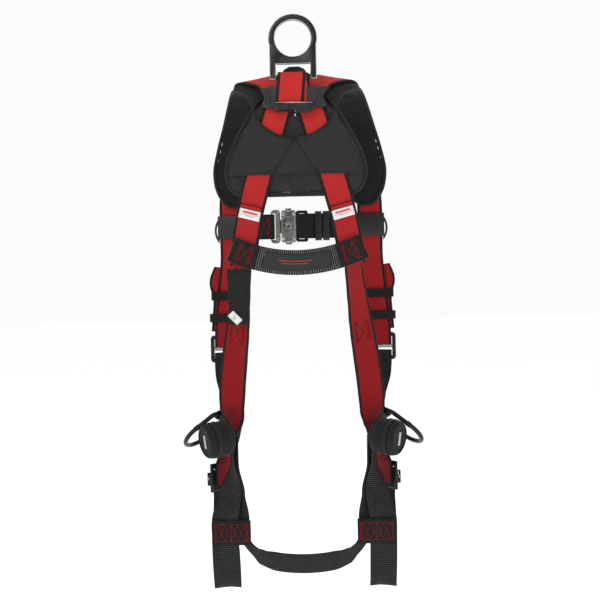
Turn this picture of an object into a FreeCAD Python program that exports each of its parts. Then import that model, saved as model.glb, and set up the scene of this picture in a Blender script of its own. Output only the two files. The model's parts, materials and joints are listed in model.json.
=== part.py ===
import FreeCAD, Part
import math
import os

from FreeCAD import Vector

# Full-body fall-arrest harness, hanging from its dorsal D-ring.
# Millimetres. +Z is up, +X is the wearer's right, +Y points from the wearer's back to the chest.
# The origin is the centre of the dorsal D-ring's eye.

# Webbing
WEB = 44.5
THICK = 2.0

# Dorsal D-ring, hinged on its lower bar
EYE_R = 29.0
RING_R = 39.0
RING_THICK = 7.5
RING_BODY = 75.0
SLOT_WIDTH = 55.6
SLOT_TOP = -41.0
BAR_Z = -61.5
BAR_R = 4.0

# Dorsal plate and the loop of webbing over the ring's bar
LOOP_IN = 4.5
LOOP_OUT = 8.5
PLATE_TOP = -72.0
PLATE_BOTTOM = -118.0
PLATE_HALF = 50.0
LIP_TOP = -102.0

# Back pad
PAD_FACE_Y = 6.0
PAD_WRAP = 8.0
PAD_HALF = 112.0
PAD_THICK = 15.0
PAD_LEAN = 0.3
PAD_LEAN_Z = -121.0

# Back pad cover, with its scooped top
COVER_BOTTOM = -217.0
COVER_HALF = 106.0
COVER_THICK = 1.8
COVER_LIFT = 3.4
SCOOP_R = 72.2
SCOOP_Z = -85.8
SCOOP_HALF = 66.0

# Shoulder pads
SHOULDER_THICK = 10.0

# Back band
BAND_HEIGHT = 40.0
BAND_THICK = 3.0
BAND_MID_Y = 4.5
BAND_MID_Z = -358.0
BAND_END_X = 86.0
BAND_REACH = 107.0

# Chest strap
CHEST_Z = -286.0
CHEST_Y = 243.0
CHEST_X = 123.0
SLIDE_WALL = 2.5
PLATE_T = 2.4

# Torso adjusters
ADJ_X = 134.0
ADJ_Z = -502.0
ADJ_Y = 224.0

# Hip rings
HIP_BAR = Vector(140, 130, -615)
HIP_DIR = Vector(0.791, 0, -0.612)
HIP_TILT = 20.0
HIP_LOOP_R = 6.6
HIP_LOOP_BORE = 4.2
HIP_TAIL_START = 4.0
HIP_TAIL_END = 15.0
HIP_TAIL_THICK = 4.4
HIP_HALF = 37.5
HIP_ROD = 7.5
HIP_REACH = 78.0

# Relief strap pouches
ROLL_R = 21.0
ROLL_EYE_R = 6.0
POUCH_AT = Vector(140, 65, -645)
POUCH_AXIS = Vector(0.86, -0.48, -0.15)
POUCH_R = 29.0
POUCH_BACK = -22.0
POUCH_RIM = 12.0
LID_FROM = 12.6
LID_TO = 22.0
POUCH_WALL = 2.5

# Leg buckles
LEG_AT = Vector(140, 128, -715)
LEG_SIDE = Vector(0.55, -0.835, 0)

os.makedirs("parts", exist_ok=True)


def save(name, shape):
    shape.exportStep("parts/" + name + ".step")
    print(name, len(shape.Solids), "solids", round(shape.Volume), "mm3", "" if shape.isValid() else "INVALID")


def mirrored(shape):
    return shape.mirror(Vector(0, 0, 0), Vector(1, 0, 0))


def savePair(name, shape):
    """The wearer's right piece as modelled, and its mirror image on the left."""
    save(name + "_R", shape)
    save(name + "_L", mirrored(shape))


def saveTwins(name, shape):
    """Both sides' pieces as separate solids in one node."""
    save(name, Part.makeCompound(shape.Solids + mirrored(shape).Solids))


def block(x0, x1, y0, y1, z0, z1):
    return Part.makeBox(x1 - x0, y1 - y0, z1 - z0, Vector(x0, y0, z0))


def cylinder(centre, axis, radius, start, end):
    """A cylinder about an axis through centre, from start to end along it."""
    direction = Vector(axis).normalize()
    return Part.makeCylinder(radius, end - start, centre + direction * start, direction)


def polyFace(points):
    return Part.Face(Part.makePolygon(points + [points[0]]))


def quad(a, b, c, d):
    """One flat face, or two triangles where the four corners are not in one plane."""
    normal = (b - a).cross(c - a)
    if normal.Length > 1e-9 and abs(normal.normalize().dot(d - a)) < 1e-6:
        return [polyFace([a, b, c, d])]
    return [polyFace([a, b, c]), polyFace([a, c, d])]


def ringSolid(rings):
    """A closed solid through planar rings of equal point count, split alike on both faces."""
    faces = [polyFace(rings[0]), polyFace(rings[-1])]
    count = len(rings[0])
    for low, high in zip(rings, rings[1:]):
        for i in range(count):
            j = (i + 1) % count
            if 2 * i < count:
                faces += quad(low[i], low[j], high[j], high[i])
            else:
                faces += quad(low[j], high[j], high[i], low[i])
    solid = Part.makeSolid(Part.makeShell(faces))
    if solid.Volume < 0:
        solid.reverse()
    return solid


def turned(angle):
    """A level width direction, turned about +Z by an angle in degrees."""
    return Vector(math.cos(math.radians(angle)), math.sin(math.radians(angle)), 0)


def strap(stations, width=WEB, thick=THICK):
    """Flat webbing through stations, each a centre point and a width direction."""
    centres = [Vector(*place) for place, across in stations]
    rings = []
    for i, (place, across) in enumerate(stations):
        along = centres[min(i + 1, len(centres) - 1)] - centres[max(i - 1, 0)]
        side = Vector(across).normalize()
        normal = along.cross(side).normalize()
        a = centres[i] - side * (width / 2)
        b = centres[i] + side * (width / 2)
        half = normal * (thick / 2)
        rings.append([a - half, b - half, b + half, a + half])
    return ringSolid(rings)


def edgeStrap(edges, thick):
    """A padded strap of changing width through pairs of edge points."""
    rings = []
    middles = [(Vector(*a) + Vector(*b)) * 0.5 for a, b in edges]
    for i, (a, b) in enumerate(edges):
        along = middles[min(i + 1, len(edges) - 1)] - middles[max(i - 1, 0)]
        side = Vector(*b) - Vector(*a)
        half = along.cross(side).normalize() * (thick / 2)
        rings.append([Vector(*a) - half, Vector(*b) - half, Vector(*b) + half, Vector(*a) + half])
    return ringSolid(rings)


def sleeve(x0, x1, y0, y1, z0, z1, wall):
    """A rectangular tube along Z with the inner size given."""
    outer = block(x0 - wall, x1 + wall, y0 - wall, y1 + wall, z0, z1)
    return outer.cut(block(x0, x1, y0, y1, z0 - 1, z1 + 1))


def padY(x, z):
    """The back pad's rear face, which wraps round the wearer's back and leans in at the neck."""
    return PAD_FACE_Y + PAD_WRAP * (x / PAD_HALF) ** 2 + PAD_LEAN * max(0.0, z - PAD_LEAN_Z)


# ---- Dorsal D-ring, plate and web loop

def dorsalRing():
    half = RING_BODY / 2
    bottom = BAR_Z - BAR_R
    body = block(-half, half, -RING_THICK / 2, RING_THICK / 2, bottom, 0)
    body = body.fuse(cylinder(Vector(0, 0, 0), (0, 1, 0), RING_R, -RING_THICK / 2, RING_THICK / 2))
    slot = block(-SLOT_WIDTH / 2, SLOT_WIDTH / 2, -9, 9, bottom - 1, SLOT_TOP)
    body = body.cut(slot)
    body = body.cut(cylinder(Vector(0, 0, 0), (0, 1, 0), EYE_R, -9, 9))
    bar = cylinder(Vector(0, 0, BAR_Z), (1, 0, 0), BAR_R, -SLOT_WIDTH / 2 - 2, SLOT_WIDTH / 2 + 2)
    return body.fuse(bar).removeSplitter()


def dorsalPlate():
    base = block(-24, 24, -4, 3.4, PLATE_BOTTOM, PLATE_TOP)
    ear = block(23.5, PLATE_HALF, -6, 3, -108, -76)
    curl = cylinder(Vector(PLATE_HALF - 3, -3, 0), (0, 0, 1), 5.5, -107, -77)
    post = block(23.5, 33, -13.5, 0, PLATE_BOTTOM + 2, LIP_TOP)
    side = ear.fuse(curl).fuse(post)
    lip = block(-33, 33, -13.5, -9.2, PLATE_BOTTOM, LIP_TOP)
    return base.fuse([side, mirrored(side), lip]).removeSplitter()


def dorsalWeb():
    """Two layers of webbing that come up in front of the plate, over the bar and down behind it."""
    def layer(radius, frontEnd, rearEnd):
        top = Part.Arc(Vector(0, -radius, BAR_Z), Vector(0, 0, BAR_Z + radius), Vector(0, radius, BAR_Z))
        front = Part.LineSegment(Vector(0, -radius, frontEnd), Vector(0, -radius, BAR_Z))
        rear = Part.LineSegment(Vector(0, radius, BAR_Z), Vector(0, radius, rearEnd))
        return [front.toShape(), top.toShape(), rear.toShape()]
    frontEnd = -108.0
    rearEnd = -96.0
    outer = layer(LOOP_OUT, frontEnd, rearEnd)
    inner = layer(LOOP_IN, frontEnd, rearEnd)
    frontCap = Part.makeLine(Vector(0, -LOOP_OUT, frontEnd), Vector(0, -LOOP_IN, frontEnd))
    rearCap = Part.makeLine(Vector(0, LOOP_OUT, rearEnd), Vector(0, LOOP_IN, rearEnd))
    wire = Part.Wire(Part.__sortEdges__(outer + inner + [frontCap, rearCap]))
    profile = Part.Face(wire)
    profile.translate(Vector(-WEB / 2, 0, 0))
    return profile.extrude(Vector(WEB, 0, 0))


save("dorsal_d_ring", dorsalRing())
save("dorsal_plate", dorsalPlate())
save("dorsal_web", dorsalWeb())


# ---- Pads

def backPad():
    rows = [(-248, 86), (-243, 98), (-230, 108), (-212, PAD_HALF), (-190, 108), (-160, 95),
            (-121, 73), (-105, 62), (-93, 54), (-86, 52)]
    steps = 8
    rings = []
    for z, half in rows:
        xs = [-half + 2 * half * i / steps for i in range(steps + 1)]
        rear = [Vector(x, padY(x, z), z) for x in xs]
        front = [Vector(x, padY(x, z) + PAD_THICK, z) for x in reversed(xs)]
        rings.append(rear + front)
    return ringSolid(rings)


def coverTop(x):
    """The cover's top edge: a scoop between its upper corners, then a slope down each side."""
    if abs(x) <= SCOOP_HALF:
        return SCOOP_Z - math.sqrt(SCOOP_R ** 2 - x ** 2)
    share = (abs(x) - SCOOP_HALF) / (COVER_HALF - SCOOP_HALF)
    return -115.0 - 92.0 * share


def backPadCover():
    steps = 24
    rings = []
    for i in range(steps + 1):
        x = -COVER_HALF + 2 * COVER_HALF * i / steps
        back = padY(x, COVER_BOTTOM) - COVER_LIFT
        top = coverTop(x)
        rings.append([Vector(x, back, COVER_BOTTOM), Vector(x, back, top),
                      Vector(x, back - COVER_THICK, top), Vector(x, back - COVER_THICK, COVER_BOTTOM)])
    return ringSolid(rings)


def neckPad():
    rows = [(-83, 27, 38, 15), (-72, 33, 43, 18), (-60, 39, 48, 23), (-48, 43, 51, 22),
            (-40, 46, 53, 16), (-36, 48, 53, 8)]
    rings = []
    for z, rear, front, half in rows:
        corner = half * 0.7
        rings.append([Vector(-half, rear + 3, z), Vector(-corner, rear, z), Vector(corner, rear, z),
                      Vector(half, rear + 3, z), Vector(half, front, z), Vector(-half, front, z)])
    return ringSolid(rings)


SHOULDER_EDGES = [((20, 28, -81), (53, 29, -81)), ((28, 39, -71), (61, 41, -73)),
                  ((46, 63, -61), (84, 68, -65)), ((54, 94, -58), (103, 100, -64)),
                  ((60, 132, -61), (109, 140, -67)), ((66, 170, -77), (118, 178, -83)),
                  ((72, 203, -105), (128, 208, -113)), ((77, 223, -146), (142, 223, -151)),
                  ((81, 231, -190), (151, 230, -190)), ((90, 233, -226), (147, 232, -221)),
                  ((105, 234, -249), (133, 233, -247))]

STRAP_STATIONS = [((19, 9.8, -92), (0.8, 0, -0.6)), ((31, 17.5, -79), (0.82, -0.3, -0.5)),
                  ((43, 34.5, -63.5), (0.87, -0.36, -0.33)), ((64, 63, -54.5), (0.96, 0.1, -0.16)),
                  ((79, 97, -53), (0.98, 0.1, -0.12)), ((85, 136, -55.5), (0.98, 0.14, -0.12)),
                  ((92, 178, -72.5), (0.98, 0.12, -0.12)), ((100, 212, -104), (0.98, 0.06, -0.14)),
                  ((110, 230.2, -146), (0.99, 0, -0.05)), ((117, 238.2, -190), (1, 0, 0)),
                  ((121, 240.6, -225), (1, 0, 0)), ((123, 242, -250), (1, 0, 0)),
                  ((123, 242, -345), (1, 0, 0)), ((128, 236, -400), (1, 0, 0)),
                  ((132, 226, -450), (1, 0, 0)), ((134, 219, -480), (1, 0, 0))]

save("back_pad", backPad())
save("back_pad_cover", backPadCover())
save("neck_pad", neckPad())
savePair("shoulder_pad", edgeStrap(SHOULDER_EDGES, SHOULDER_THICK))
savePair("shoulder_strap", strap(STRAP_STATIONS))

# The sleeve that carries each strap over the crest of its shoulder pad
sleeveStations = [((x, y + lift[0], z + lift[1]), across) for ((x, y, z), across), lift in
                  zip(STRAP_STATIONS[3:8], [(-0.7, 2.9), (0, 3.0), (0.6, 3.0), (1.5, 2.8), (2.6, 2.1)])]
saveTwins("shoulder_sleeves", strap(sleeveStations, 50, 1.6))


# ---- Rear straps and back band

REAR_STATIONS = [((24, -104), 5.6), ((31.5, -128), 4.7), ((38, -150), None), ((59, -218), None),
                 ((67, -247), None), ((75, -279), 11), ((81, -310), 15.5), ((86, -342), 19.5),
                 ((88, -362), 21.5)]


def rearStrap():
    """Follows the pad's face under the cover, then wraps outward towards the hip."""
    stations = []
    for i, ((x, z), y) in enumerate(REAR_STATIONS):
        before = REAR_STATIONS[max(i - 1, 0)][0]
        after = REAR_STATIONS[min(i + 1, len(REAR_STATIONS) - 1)][0]
        lean = math.atan2(after[0] - before[0], before[1] - after[1])
        wrap = 2 * PAD_WRAP * x / PAD_HALF ** 2 if i < 5 else 0.2
        if i < 2:
            wrap = 0.02
        depth = padY(x, z) - 1.9 if y is None else y
        stations.append(((x, depth, z), (math.cos(lean), wrap, math.sin(lean))))
    return strap(stations)


def bandPoint(x, lift=0.0):
    share = (x / BAND_END_X) ** 2
    return Vector(x, BAND_MID_Y + 8.6 * share - lift, BAND_MID_Z + 16.0 * share)


def bandPiece(x0, x1, height, thick, lift, steps):
    rings = []
    for i in range(steps + 1):
        p = bandPoint(x0 + (x1 - x0) * i / steps, lift)
        up = Vector(0, 0, height / 2)
        out = Vector(0, thick / 2, 0)
        rings.append([p - up - out, p + up - out, p + up + out, p - up + out])
    return ringSolid(rings)


savePair("rear_strap", rearStrap())
save("back_band", bandPiece(-BAND_REACH, BAND_REACH, BAND_HEIGHT, BAND_THICK, 0, 24))
save("back_band_label", bandPiece(-54, 54, 29, 0.8, BAND_THICK / 2 + 0.5, 14))
saveTwins("band_patches", bandPiece(65, 106, BAND_HEIGHT - 1, 1.2, BAND_THICK / 2 + 0.8, 5))

# White sewn-on labels below the folded fall indicators
labelTilt = math.radians(14.7)
labelAcross = (math.cos(labelTilt), 0.18, math.sin(labelTilt))
labelShape = strap([((73.5, 7.6, -273), labelAcross), ((77.2, 9.6, -287), labelAcross)], 36, 0.6)
saveTwins("impact_labels", labelShape)

# Document pouch under the band's left end, with its pull tag
pouchStations = [((-95, 13.5, -367), (1, 0, 0)), ((-95, 21, -405), (1, 0, 0)), ((-95, 31, -455), (1, 0, 0))]
save("label_pouch", strap(pouchStations, 37, 6))
tagStations = [((-104, 23.7, -437), (1, 0, 0)), ((-104, 27, -455), (1, 0, 0))]
save("label_tag", strap(tagStations, 26, 0.8))


# ---- Chest strap

def chestSlide():
    """A moulded slide round the front strap, with a breakaway lanyard loop on its outer side."""
    half = WEB / 2 + 0.8
    low = CHEST_Z - 20.5
    high = CHEST_Z + 20.5
    body = sleeve(CHEST_X - half, CHEST_X + half, 240, 244, low, high, SLIDE_WALL)
    x = CHEST_X + half + SLIDE_WALL
    centre = Vector(x - 28.0, 242, CHEST_Z - 5.5)
    ring = cylinder(centre, (0, 1, 0), 34.0, -2.5, 2.5).cut(cylinder(centre, (0, 1, 0), 30.5, -4, 4))
    loop = ring.common(block(x - 2.4, x + 12, 230, 250, CHEST_Z - 32, CHEST_Z + 21))
    loop = loop.cut(block(x - 60, x - 0.5, 230, 250, low + 0.5, CHEST_Z + 60))
    foot = block(x - 2.4, x - 0.4, 239.5, 244.5, low - 5.5, low + 0.2)
    return body.fuse([loop, foot]).removeSplitter()


def chestStrapLeft():
    return block(-97, -56.5, CHEST_Y - 2, CHEST_Y + 2, CHEST_Z - WEB / 2, CHEST_Z + WEB / 2)


def chestStrapRight():
    web = block(13.5, 97, CHEST_Y - 2, CHEST_Y + 2, CHEST_Z - WEB / 2, CHEST_Z + WEB / 2)
    fold = block(-8, 23, CHEST_Y - 5.2, CHEST_Y - 2.6, CHEST_Z - WEB / 2, CHEST_Z + WEB / 2)
    link = block(13.5, 23, CHEST_Y - 4, CHEST_Y, CHEST_Z - WEB / 2, CHEST_Z + WEB / 2)
    return web.fuse([fold, link]).removeSplitter()


def chestTongue():
    """A flat ring for the web, and the nose that the receiver grips."""
    half = 30.5
    body = block(-54, -37, CHEST_Y - 1.5, CHEST_Y + 1.5, CHEST_Z - half, CHEST_Z + half)
    body = body.makeFillet(6.0, [e for e in body.Edges if abs(e.tangentAt(e.FirstParameter).y) > 0.9])
    slot = block(-50.5, -45.5, 230, 250, CHEST_Z - 23.5, CHEST_Z + 23.5)
    nose = block(-38, -14, CHEST_Y - 1.2, CHEST_Y + 1.2, CHEST_Z - 12, CHEST_Z + 12)
    return body.cut(slot).fuse(nose).removeSplitter()


RIVET_SPOTS = [(x, z) for x in (-31.5, -12.5) for z in (-22.0, 22.0)]


def receiverPlate(y0, y1):
    body = block(-35, -9.3, y0, y1, CHEST_Z - 29, CHEST_Z + 29)
    corners = [e for e in body.Edges if abs(e.tangentAt(e.FirstParameter).y) > 0.9]
    body = body.makeFillet(5.0, corners)
    for x, z in RIVET_SPOTS + [(-22.0, 0.0)]:
        body = body.cut(cylinder(Vector(x, 0, CHEST_Z + z), (0, 1, 0), 2.5, y0 - 1, y1 + 1))
    return body


def chestRivets():
    rivets = []
    for x, z in RIVET_SPOTS:
        at = Vector(x, 0, CHEST_Z + z)
        shank = cylinder(at, (0, 1, 0), 2.45, 237.7, 249.3)
        heads = [cylinder(at, (0, 1, 0), 3.4, 237.2, 238.4), cylinder(at, (0, 1, 0), 3.4, 248.6, 249.8)]
        rivets.append(shank.fuse(heads).removeSplitter())
    return Part.makeCompound(rivets)


def releaseTab(sign):
    """A sprung pawl between the plates, pressed towards the buckle's centre."""
    inner = CHEST_Z + sign * 17.5
    outer = CHEST_Z + sign * 32.5
    return block(-27.5, -16.5, 241.3, 244.7, min(inner, outer), max(inner, outer))


def tabSprings():
    springs = []
    for x in (-25.5, -18.5):
        at = Vector(x, 246.2, CHEST_Z)
        coil = cylinder(at, (0, 0, 1), 1.0, -12, 12).cut(cylinder(at, (0, 0, 1), 0.6, -13, 13))
        springs.append(coil)
    return Part.makeCompound(springs)


def chestFrame():
    """The adjuster frame at the right web's end, with its locking bar."""
    body = block(-9.0, 12.5, CHEST_Y - 1.8, CHEST_Y + 1.8, CHEST_Z - 28, CHEST_Z + 28)
    corners = [e for e in body.Edges if abs(e.tangentAt(e.FirstParameter).y) > 0.9]
    body = body.makeFillet(4.0, corners)
    return body.cut(block(-3.5, 6.5, 230, 250, CHEST_Z - 23, CHEST_Z + 23))


def chestKeeper(x0, x1):
    outer = block(x0, x1, 238.6, 247.4, CHEST_Z - 25, CHEST_Z + 25)
    return outer.cut(block(x0 - 1, x1 + 1, 240.5, 245.5, CHEST_Z - 22.8, CHEST_Z + 22.8))


savePair("chest_slide", chestSlide())
save("chest_strap_L", chestStrapLeft())
save("chest_strap_R", chestStrapRight())
save("chest_tongue", chestTongue())
save("chest_receiver", receiverPlate(238.4, 238.4 + PLATE_T))
save("chest_receiver_cover", receiverPlate(248.6 - 0.9, 248.6))
save("chest_rivets", chestRivets())
save("chest_tab_top", releaseTab(1))
save("chest_tab_bottom", releaseTab(-1))
save("chest_tab_springs", tabSprings())
save("chest_frame", chestFrame())
save("chest_keepers", Part.makeCompound([chestKeeper(25, 37), chestKeeper(39, 51)]))


# ---- Torso adjusters, tails and keepers

TAIL_STATIONS = [((140, 226.5, -472), (1, 0, 0)), ((137, 234, -430), (1, 0, 0)), ((135, 240, -400), (1, 0, 0)),
                 ((135.5, 246, -378), (1, 0, 0)), ((133, 246.5, -358), (1, 0, 0))]


def torsoKeepers():
    """Elastic loops that hold each tail against the front strap."""
    loops = []
    for z, x, y in ((-408, 132.4, 237.2), (-447, 135.4, 229.7)):
        loops.append(sleeve(x - 26.8, x + 26.8, y - 5.8, y + 5.8, z - 7.5, z + 7.5, 1.3))
    return Part.makeCompound(loops)


def adjusterFrame():
    half = 30.0
    body = block(ADJ_X - half, ADJ_X + half, ADJ_Y - 1.5, ADJ_Y + 2, ADJ_Z - 24, ADJ_Z + 24)
    corners = [e for e in body.Edges if abs(e.tangentAt(e.FirstParameter).y) > 0.9]
    body = body.makeFillet(6.0, corners)
    body = body.cut(block(ADJ_X - 23.5, ADJ_X + 23.5, 210, 240, ADJ_Z - 17, ADJ_Z + 17))
    for sign in (-1, 1):
        x = ADJ_X + sign * 26.5
        ear = block(x - 2.5, x + 2.5, ADJ_Y - 8, ADJ_Y - 1, ADJ_Z - 12, ADJ_Z + 12)
        body = body.fuse(ear.cut(block(x - 4, x + 4, ADJ_Y - 6.4, ADJ_Y - 2.6, ADJ_Z - 3.4, ADJ_Z + 8.4)))
    return body.removeSplitter()


def adjusterBar():
    """The knurled bar that slides in the ears and pinches the webbing."""
    return block(ADJ_X - 29.5, ADJ_X + 29.5, ADJ_Y - 6.0, ADJ_Y - 3.0, ADJ_Z - 3, ADJ_Z + 3)


LOWER_STATIONS = [((134, 214, -512), turned(0)), ((132.5, 200, -545), turned(-18)), ((123, 163, -588), turned(-42)),
                  ((117.5, 128, -624), turned(-58)), ((121, 124, -652), turned(-60)), ((134, 126, -686), turned(-57))]

savePair("torso_tail", strap(TAIL_STATIONS))
saveTwins("torso_keepers", torsoKeepers())
savePair("torso_adjuster_frame", adjusterFrame())
savePair("torso_adjuster_bar", adjusterBar())
savePair("lower_torso_strap", strap(LOWER_STATIONS))


# ---- Hip straps, hip rings and relief pouches

HIP_STATIONS = [((89, 42, -352), turned(50)), ((92, 43, -385), turned(47)), ((96, 46, -420), turned(40)),
                ((100, 50, -454), turned(30)), ((105, 58, -488), turned(20)), ((111, 68, -530), turned(5)),
                ((116, 79, -567), turned(8)), ((117, 90, -596), turned(28)), ((116, 101, -626), turned(76))]


def hipFrame():
    """Local axes of the right hip ring: out along the ring, along its tilted bar, and off its face."""
    out = Vector(HIP_DIR).normalize()
    level = Vector(0, 1, 0)
    tilt = math.radians(HIP_TILT)
    across = level * math.cos(tilt) - out.cross(level) * math.sin(tilt)
    return out, across, out.cross(across)


def hipPoint(u, v, n=0.0):
    out, across, off = hipFrame()
    return HIP_BAR + out * u + across * v + off * n


def dOutline(inset, n):
    """A D: straight sides from the bar, closed by a half circle."""
    half = HIP_HALF - inset
    bend = HIP_REACH - HIP_HALF
    start = -HIP_ROD / 2 + inset
    edges = [Part.LineSegment(hipPoint(start, -half, n), hipPoint(bend, -half, n)).toShape(),
             Part.Arc(hipPoint(bend, -half, n), hipPoint(bend + half, 0, n), hipPoint(bend, half, n)).toShape(),
             Part.LineSegment(hipPoint(bend, half, n), hipPoint(start, half, n)).toShape(),
             Part.LineSegment(hipPoint(start, half, n), hipPoint(start, -half, n)).toShape()]
    return Part.Face(Part.Wire(edges))


def hipRing():
    off = hipFrame()[2]
    outer = dOutline(0.0, -HIP_ROD / 2).extrude(off * HIP_ROD)
    inner = dOutline(HIP_ROD, -HIP_ROD).extrude(off * (2 * HIP_ROD))
    ring = outer.cut(inner)
    barZone = Part.makeBox(2 * HIP_ROD, 2 * (HIP_HALF - HIP_ROD), 3 * HIP_ROD)
    barZone.Placement = FreeCAD.Placement(hipPoint(-HIP_ROD, -(HIP_HALF - HIP_ROD), -1.5 * HIP_ROD),
                                          FreeCAD.Rotation(*hipFrame(), "XYZ"))
    bar = cylinder(HIP_BAR, hipFrame()[1], HIP_ROD / 2, -HIP_HALF + 1, HIP_HALF - 1)
    return ring.cut(barZone).fuse(bar).removeSplitter()


def hipLoop():
    """Webbing round the hip ring's bar, with its sewn tail towards the hip strap."""
    half = WEB / 2
    along = hipFrame()[1]
    tube = cylinder(HIP_BAR, along, HIP_LOOP_R, -half, half)
    tail = Part.makeBox(HIP_TAIL_END - HIP_TAIL_START, WEB, HIP_TAIL_THICK)
    tail.Placement = FreeCAD.Placement(hipPoint(-HIP_TAIL_END, -half, -HIP_TAIL_THICK / 2),
                                       FreeCAD.Rotation(*hipFrame(), "XYZ"))
    bore = cylinder(HIP_BAR, along, HIP_LOOP_BORE, -half - 1, half + 1)
    return tube.fuse(tail).cut(bore).removeSplitter()


def pouchBody():
    shell = cylinder(POUCH_AT, POUCH_AXIS, POUCH_R, POUCH_BACK, POUCH_RIM)
    return shell.cut(cylinder(POUCH_AT, POUCH_AXIS, POUCH_R - POUCH_WALL, POUCH_BACK + POUCH_WALL, POUCH_RIM + 1))


def pouchLid():
    shell = cylinder(POUCH_AT, POUCH_AXIS, POUCH_R, LID_FROM, LID_TO)
    return shell.cut(cylinder(POUCH_AT, POUCH_AXIS, POUCH_R - POUCH_WALL, LID_FROM - 1, LID_TO - POUCH_WALL))


def reliefStrap():
    """The relief strap, rolled up in its pouch."""
    roll = cylinder(POUCH_AT, POUCH_AXIS, ROLL_R, POUCH_BACK + 5, POUCH_RIM - 3)
    return roll.cut(cylinder(POUCH_AT, POUCH_AXIS, ROLL_EYE_R, POUCH_BACK + 4, POUCH_RIM))


savePair("hip_strap", strap(HIP_STATIONS))
savePair("hip_d_ring", hipRing())
savePair("hip_ring_loop", hipLoop())
savePair("relief_pouch", pouchBody())
savePair("relief_pouch_lid", pouchLid())
saveTwins("relief_straps", reliefStrap())


# ---- Leg straps and sub-pelvic strap

LEG_STATIONS = [((117, 100, -642), turned(76)), ((118, 92, -683), turned(79)), ((122, 79.5, -740), turned(30)),
                ((131, 71.5, -781), turned(3)), ((131, 70.5, -806), turned(0)), ((130.5, 72, -843), turned(-4)),
                ((129.5, 77, -879), turned(-12)), ((129.3, 82, -890), turned(-16)), ((129.3, 88, -893), turned(-18)),
                ((129.3, 94, -889), turned(-20)), ((129.5, 99, -878), turned(-22)), ((131, 107, -843), turned(-26)),
                ((135, 118, -798), turned(-36)), ((140, 127, -744), turned(-56))]

TAB_STATIONS = [((126.9, 124.0, -672), turned(-58)), ((133.1, 123.6, -686), turned(-57)),
                ((135.3, 124.8, -700), turned(-56.6)), ((135.7, 125.1, -728), turned(-56.6))]

SLING_STATIONS = [((113.6, 93, -645), turned(74)), ((111, 87.5, -690), turned(78)), ((109.5, 84, -738), turned(55)),
                  ((111.5, 79.5, -778), turned(18)), ((108, 86, -806), (0.72, 0.69, -0.05)),
                  ((94, 91, -825), (0.45, 0.88, -0.12)), ((84, 91, -836), (0.3, 0.88, -0.37)),
                  ((70.5, 88, -846), (0.2, 0.72, -0.665)), ((47.5, 85, -852.5), (0.11, 0.58, -0.8)),
                  ((25, 84, -855.5), (0.05, 0.57, -0.82)), ((0, 83.5, -856.5), (0, 0.566, -0.824))]


def subPelvicStrap():
    """One strap from hip to hip, which twists inward below each box stitch and hangs across."""
    left = []
    for (x, y, z), across in reversed(SLING_STATIONS[:-1]):
        ax, ay, az = Vector(across)
        left.append(((-x, y, z), (-ax, ay, az)))
    return strap(SLING_STATIONS + left)


def buckleBox(along, side, off, at):
    """A box centred in the leg buckle's frame: its size along Z, across the web and off its face."""
    w = Vector(LEG_SIDE).normalize()
    up = Vector(0, 0, 1)
    out = up.cross(w)
    body = Part.makeBox(side, off, along)
    corner = LEG_AT + w * (at[0] - side / 2) + out * (at[1] - off / 2) + up * (at[2] - along / 2)
    body.Placement = FreeCAD.Placement(corner, FreeCAD.Rotation(w, out, up, "XYZ"))
    return body


def legBuckle():
    """A three-bar frame: the fixed web's slot at the top, and ears for the locking bar below."""
    frame = buckleBox(48, 58, 4, (0, 0, 0)).cut(buckleBox(34, 47, 8, (0, 0, -2)))
    for sign in (-1, 1):
        ear = buckleBox(22, 5, 6.5, (sign * 26.5, 5.0, -2)).cut(buckleBox(12.2, 8, 3.8, (sign * 26.5, 5.2, 1)))
        frame = frame.fuse(ear)
    return frame.removeSplitter()


savePair("leg_strap", strap(LEG_STATIONS))
save("sub_pelvic_strap", subPelvicStrap())
savePair("leg_buckle_frame", legBuckle())
savePair("leg_buckle_bar", buckleBox(6, 60, 3, (0, 5.2, -1.6)))
savePair("leg_tab", strap(TAB_STATIONS))
saveTwins("leg_patches", block(88.5, 152, 65.6, 67.2, -820.5, -780.5))
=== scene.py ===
import json
import math

import bmesh
import bpy
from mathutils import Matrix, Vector

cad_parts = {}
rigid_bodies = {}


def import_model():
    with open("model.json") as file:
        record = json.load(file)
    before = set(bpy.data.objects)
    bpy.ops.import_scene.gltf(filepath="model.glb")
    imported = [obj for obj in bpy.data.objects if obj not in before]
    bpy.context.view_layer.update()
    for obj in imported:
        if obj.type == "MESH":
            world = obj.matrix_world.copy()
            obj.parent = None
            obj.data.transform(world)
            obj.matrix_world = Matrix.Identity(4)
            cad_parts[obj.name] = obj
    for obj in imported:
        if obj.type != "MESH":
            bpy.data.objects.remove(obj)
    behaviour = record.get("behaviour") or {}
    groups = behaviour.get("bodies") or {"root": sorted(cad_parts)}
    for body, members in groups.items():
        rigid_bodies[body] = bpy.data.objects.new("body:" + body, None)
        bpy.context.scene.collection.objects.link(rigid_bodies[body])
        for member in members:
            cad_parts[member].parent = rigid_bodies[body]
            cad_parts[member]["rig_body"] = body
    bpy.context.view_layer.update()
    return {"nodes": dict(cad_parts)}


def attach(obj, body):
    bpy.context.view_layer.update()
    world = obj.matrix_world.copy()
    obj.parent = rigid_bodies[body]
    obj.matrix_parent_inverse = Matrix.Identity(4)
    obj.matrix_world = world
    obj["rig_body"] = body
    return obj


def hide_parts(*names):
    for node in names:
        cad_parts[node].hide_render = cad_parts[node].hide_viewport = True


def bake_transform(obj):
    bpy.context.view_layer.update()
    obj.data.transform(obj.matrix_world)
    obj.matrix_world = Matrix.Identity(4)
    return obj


# Full-body safety harness, hanging from its dorsal ring and seen from the wearer's back.
# Sizes here are millimetres and become metres as each mesh is made. +X is the wearer's right.

for leftover in list(bpy.data.objects):
    bpy.data.objects.remove(leftover)
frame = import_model()
scene = bpy.context.scene
mm = 0.001


# small helpers for shader trees

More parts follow.
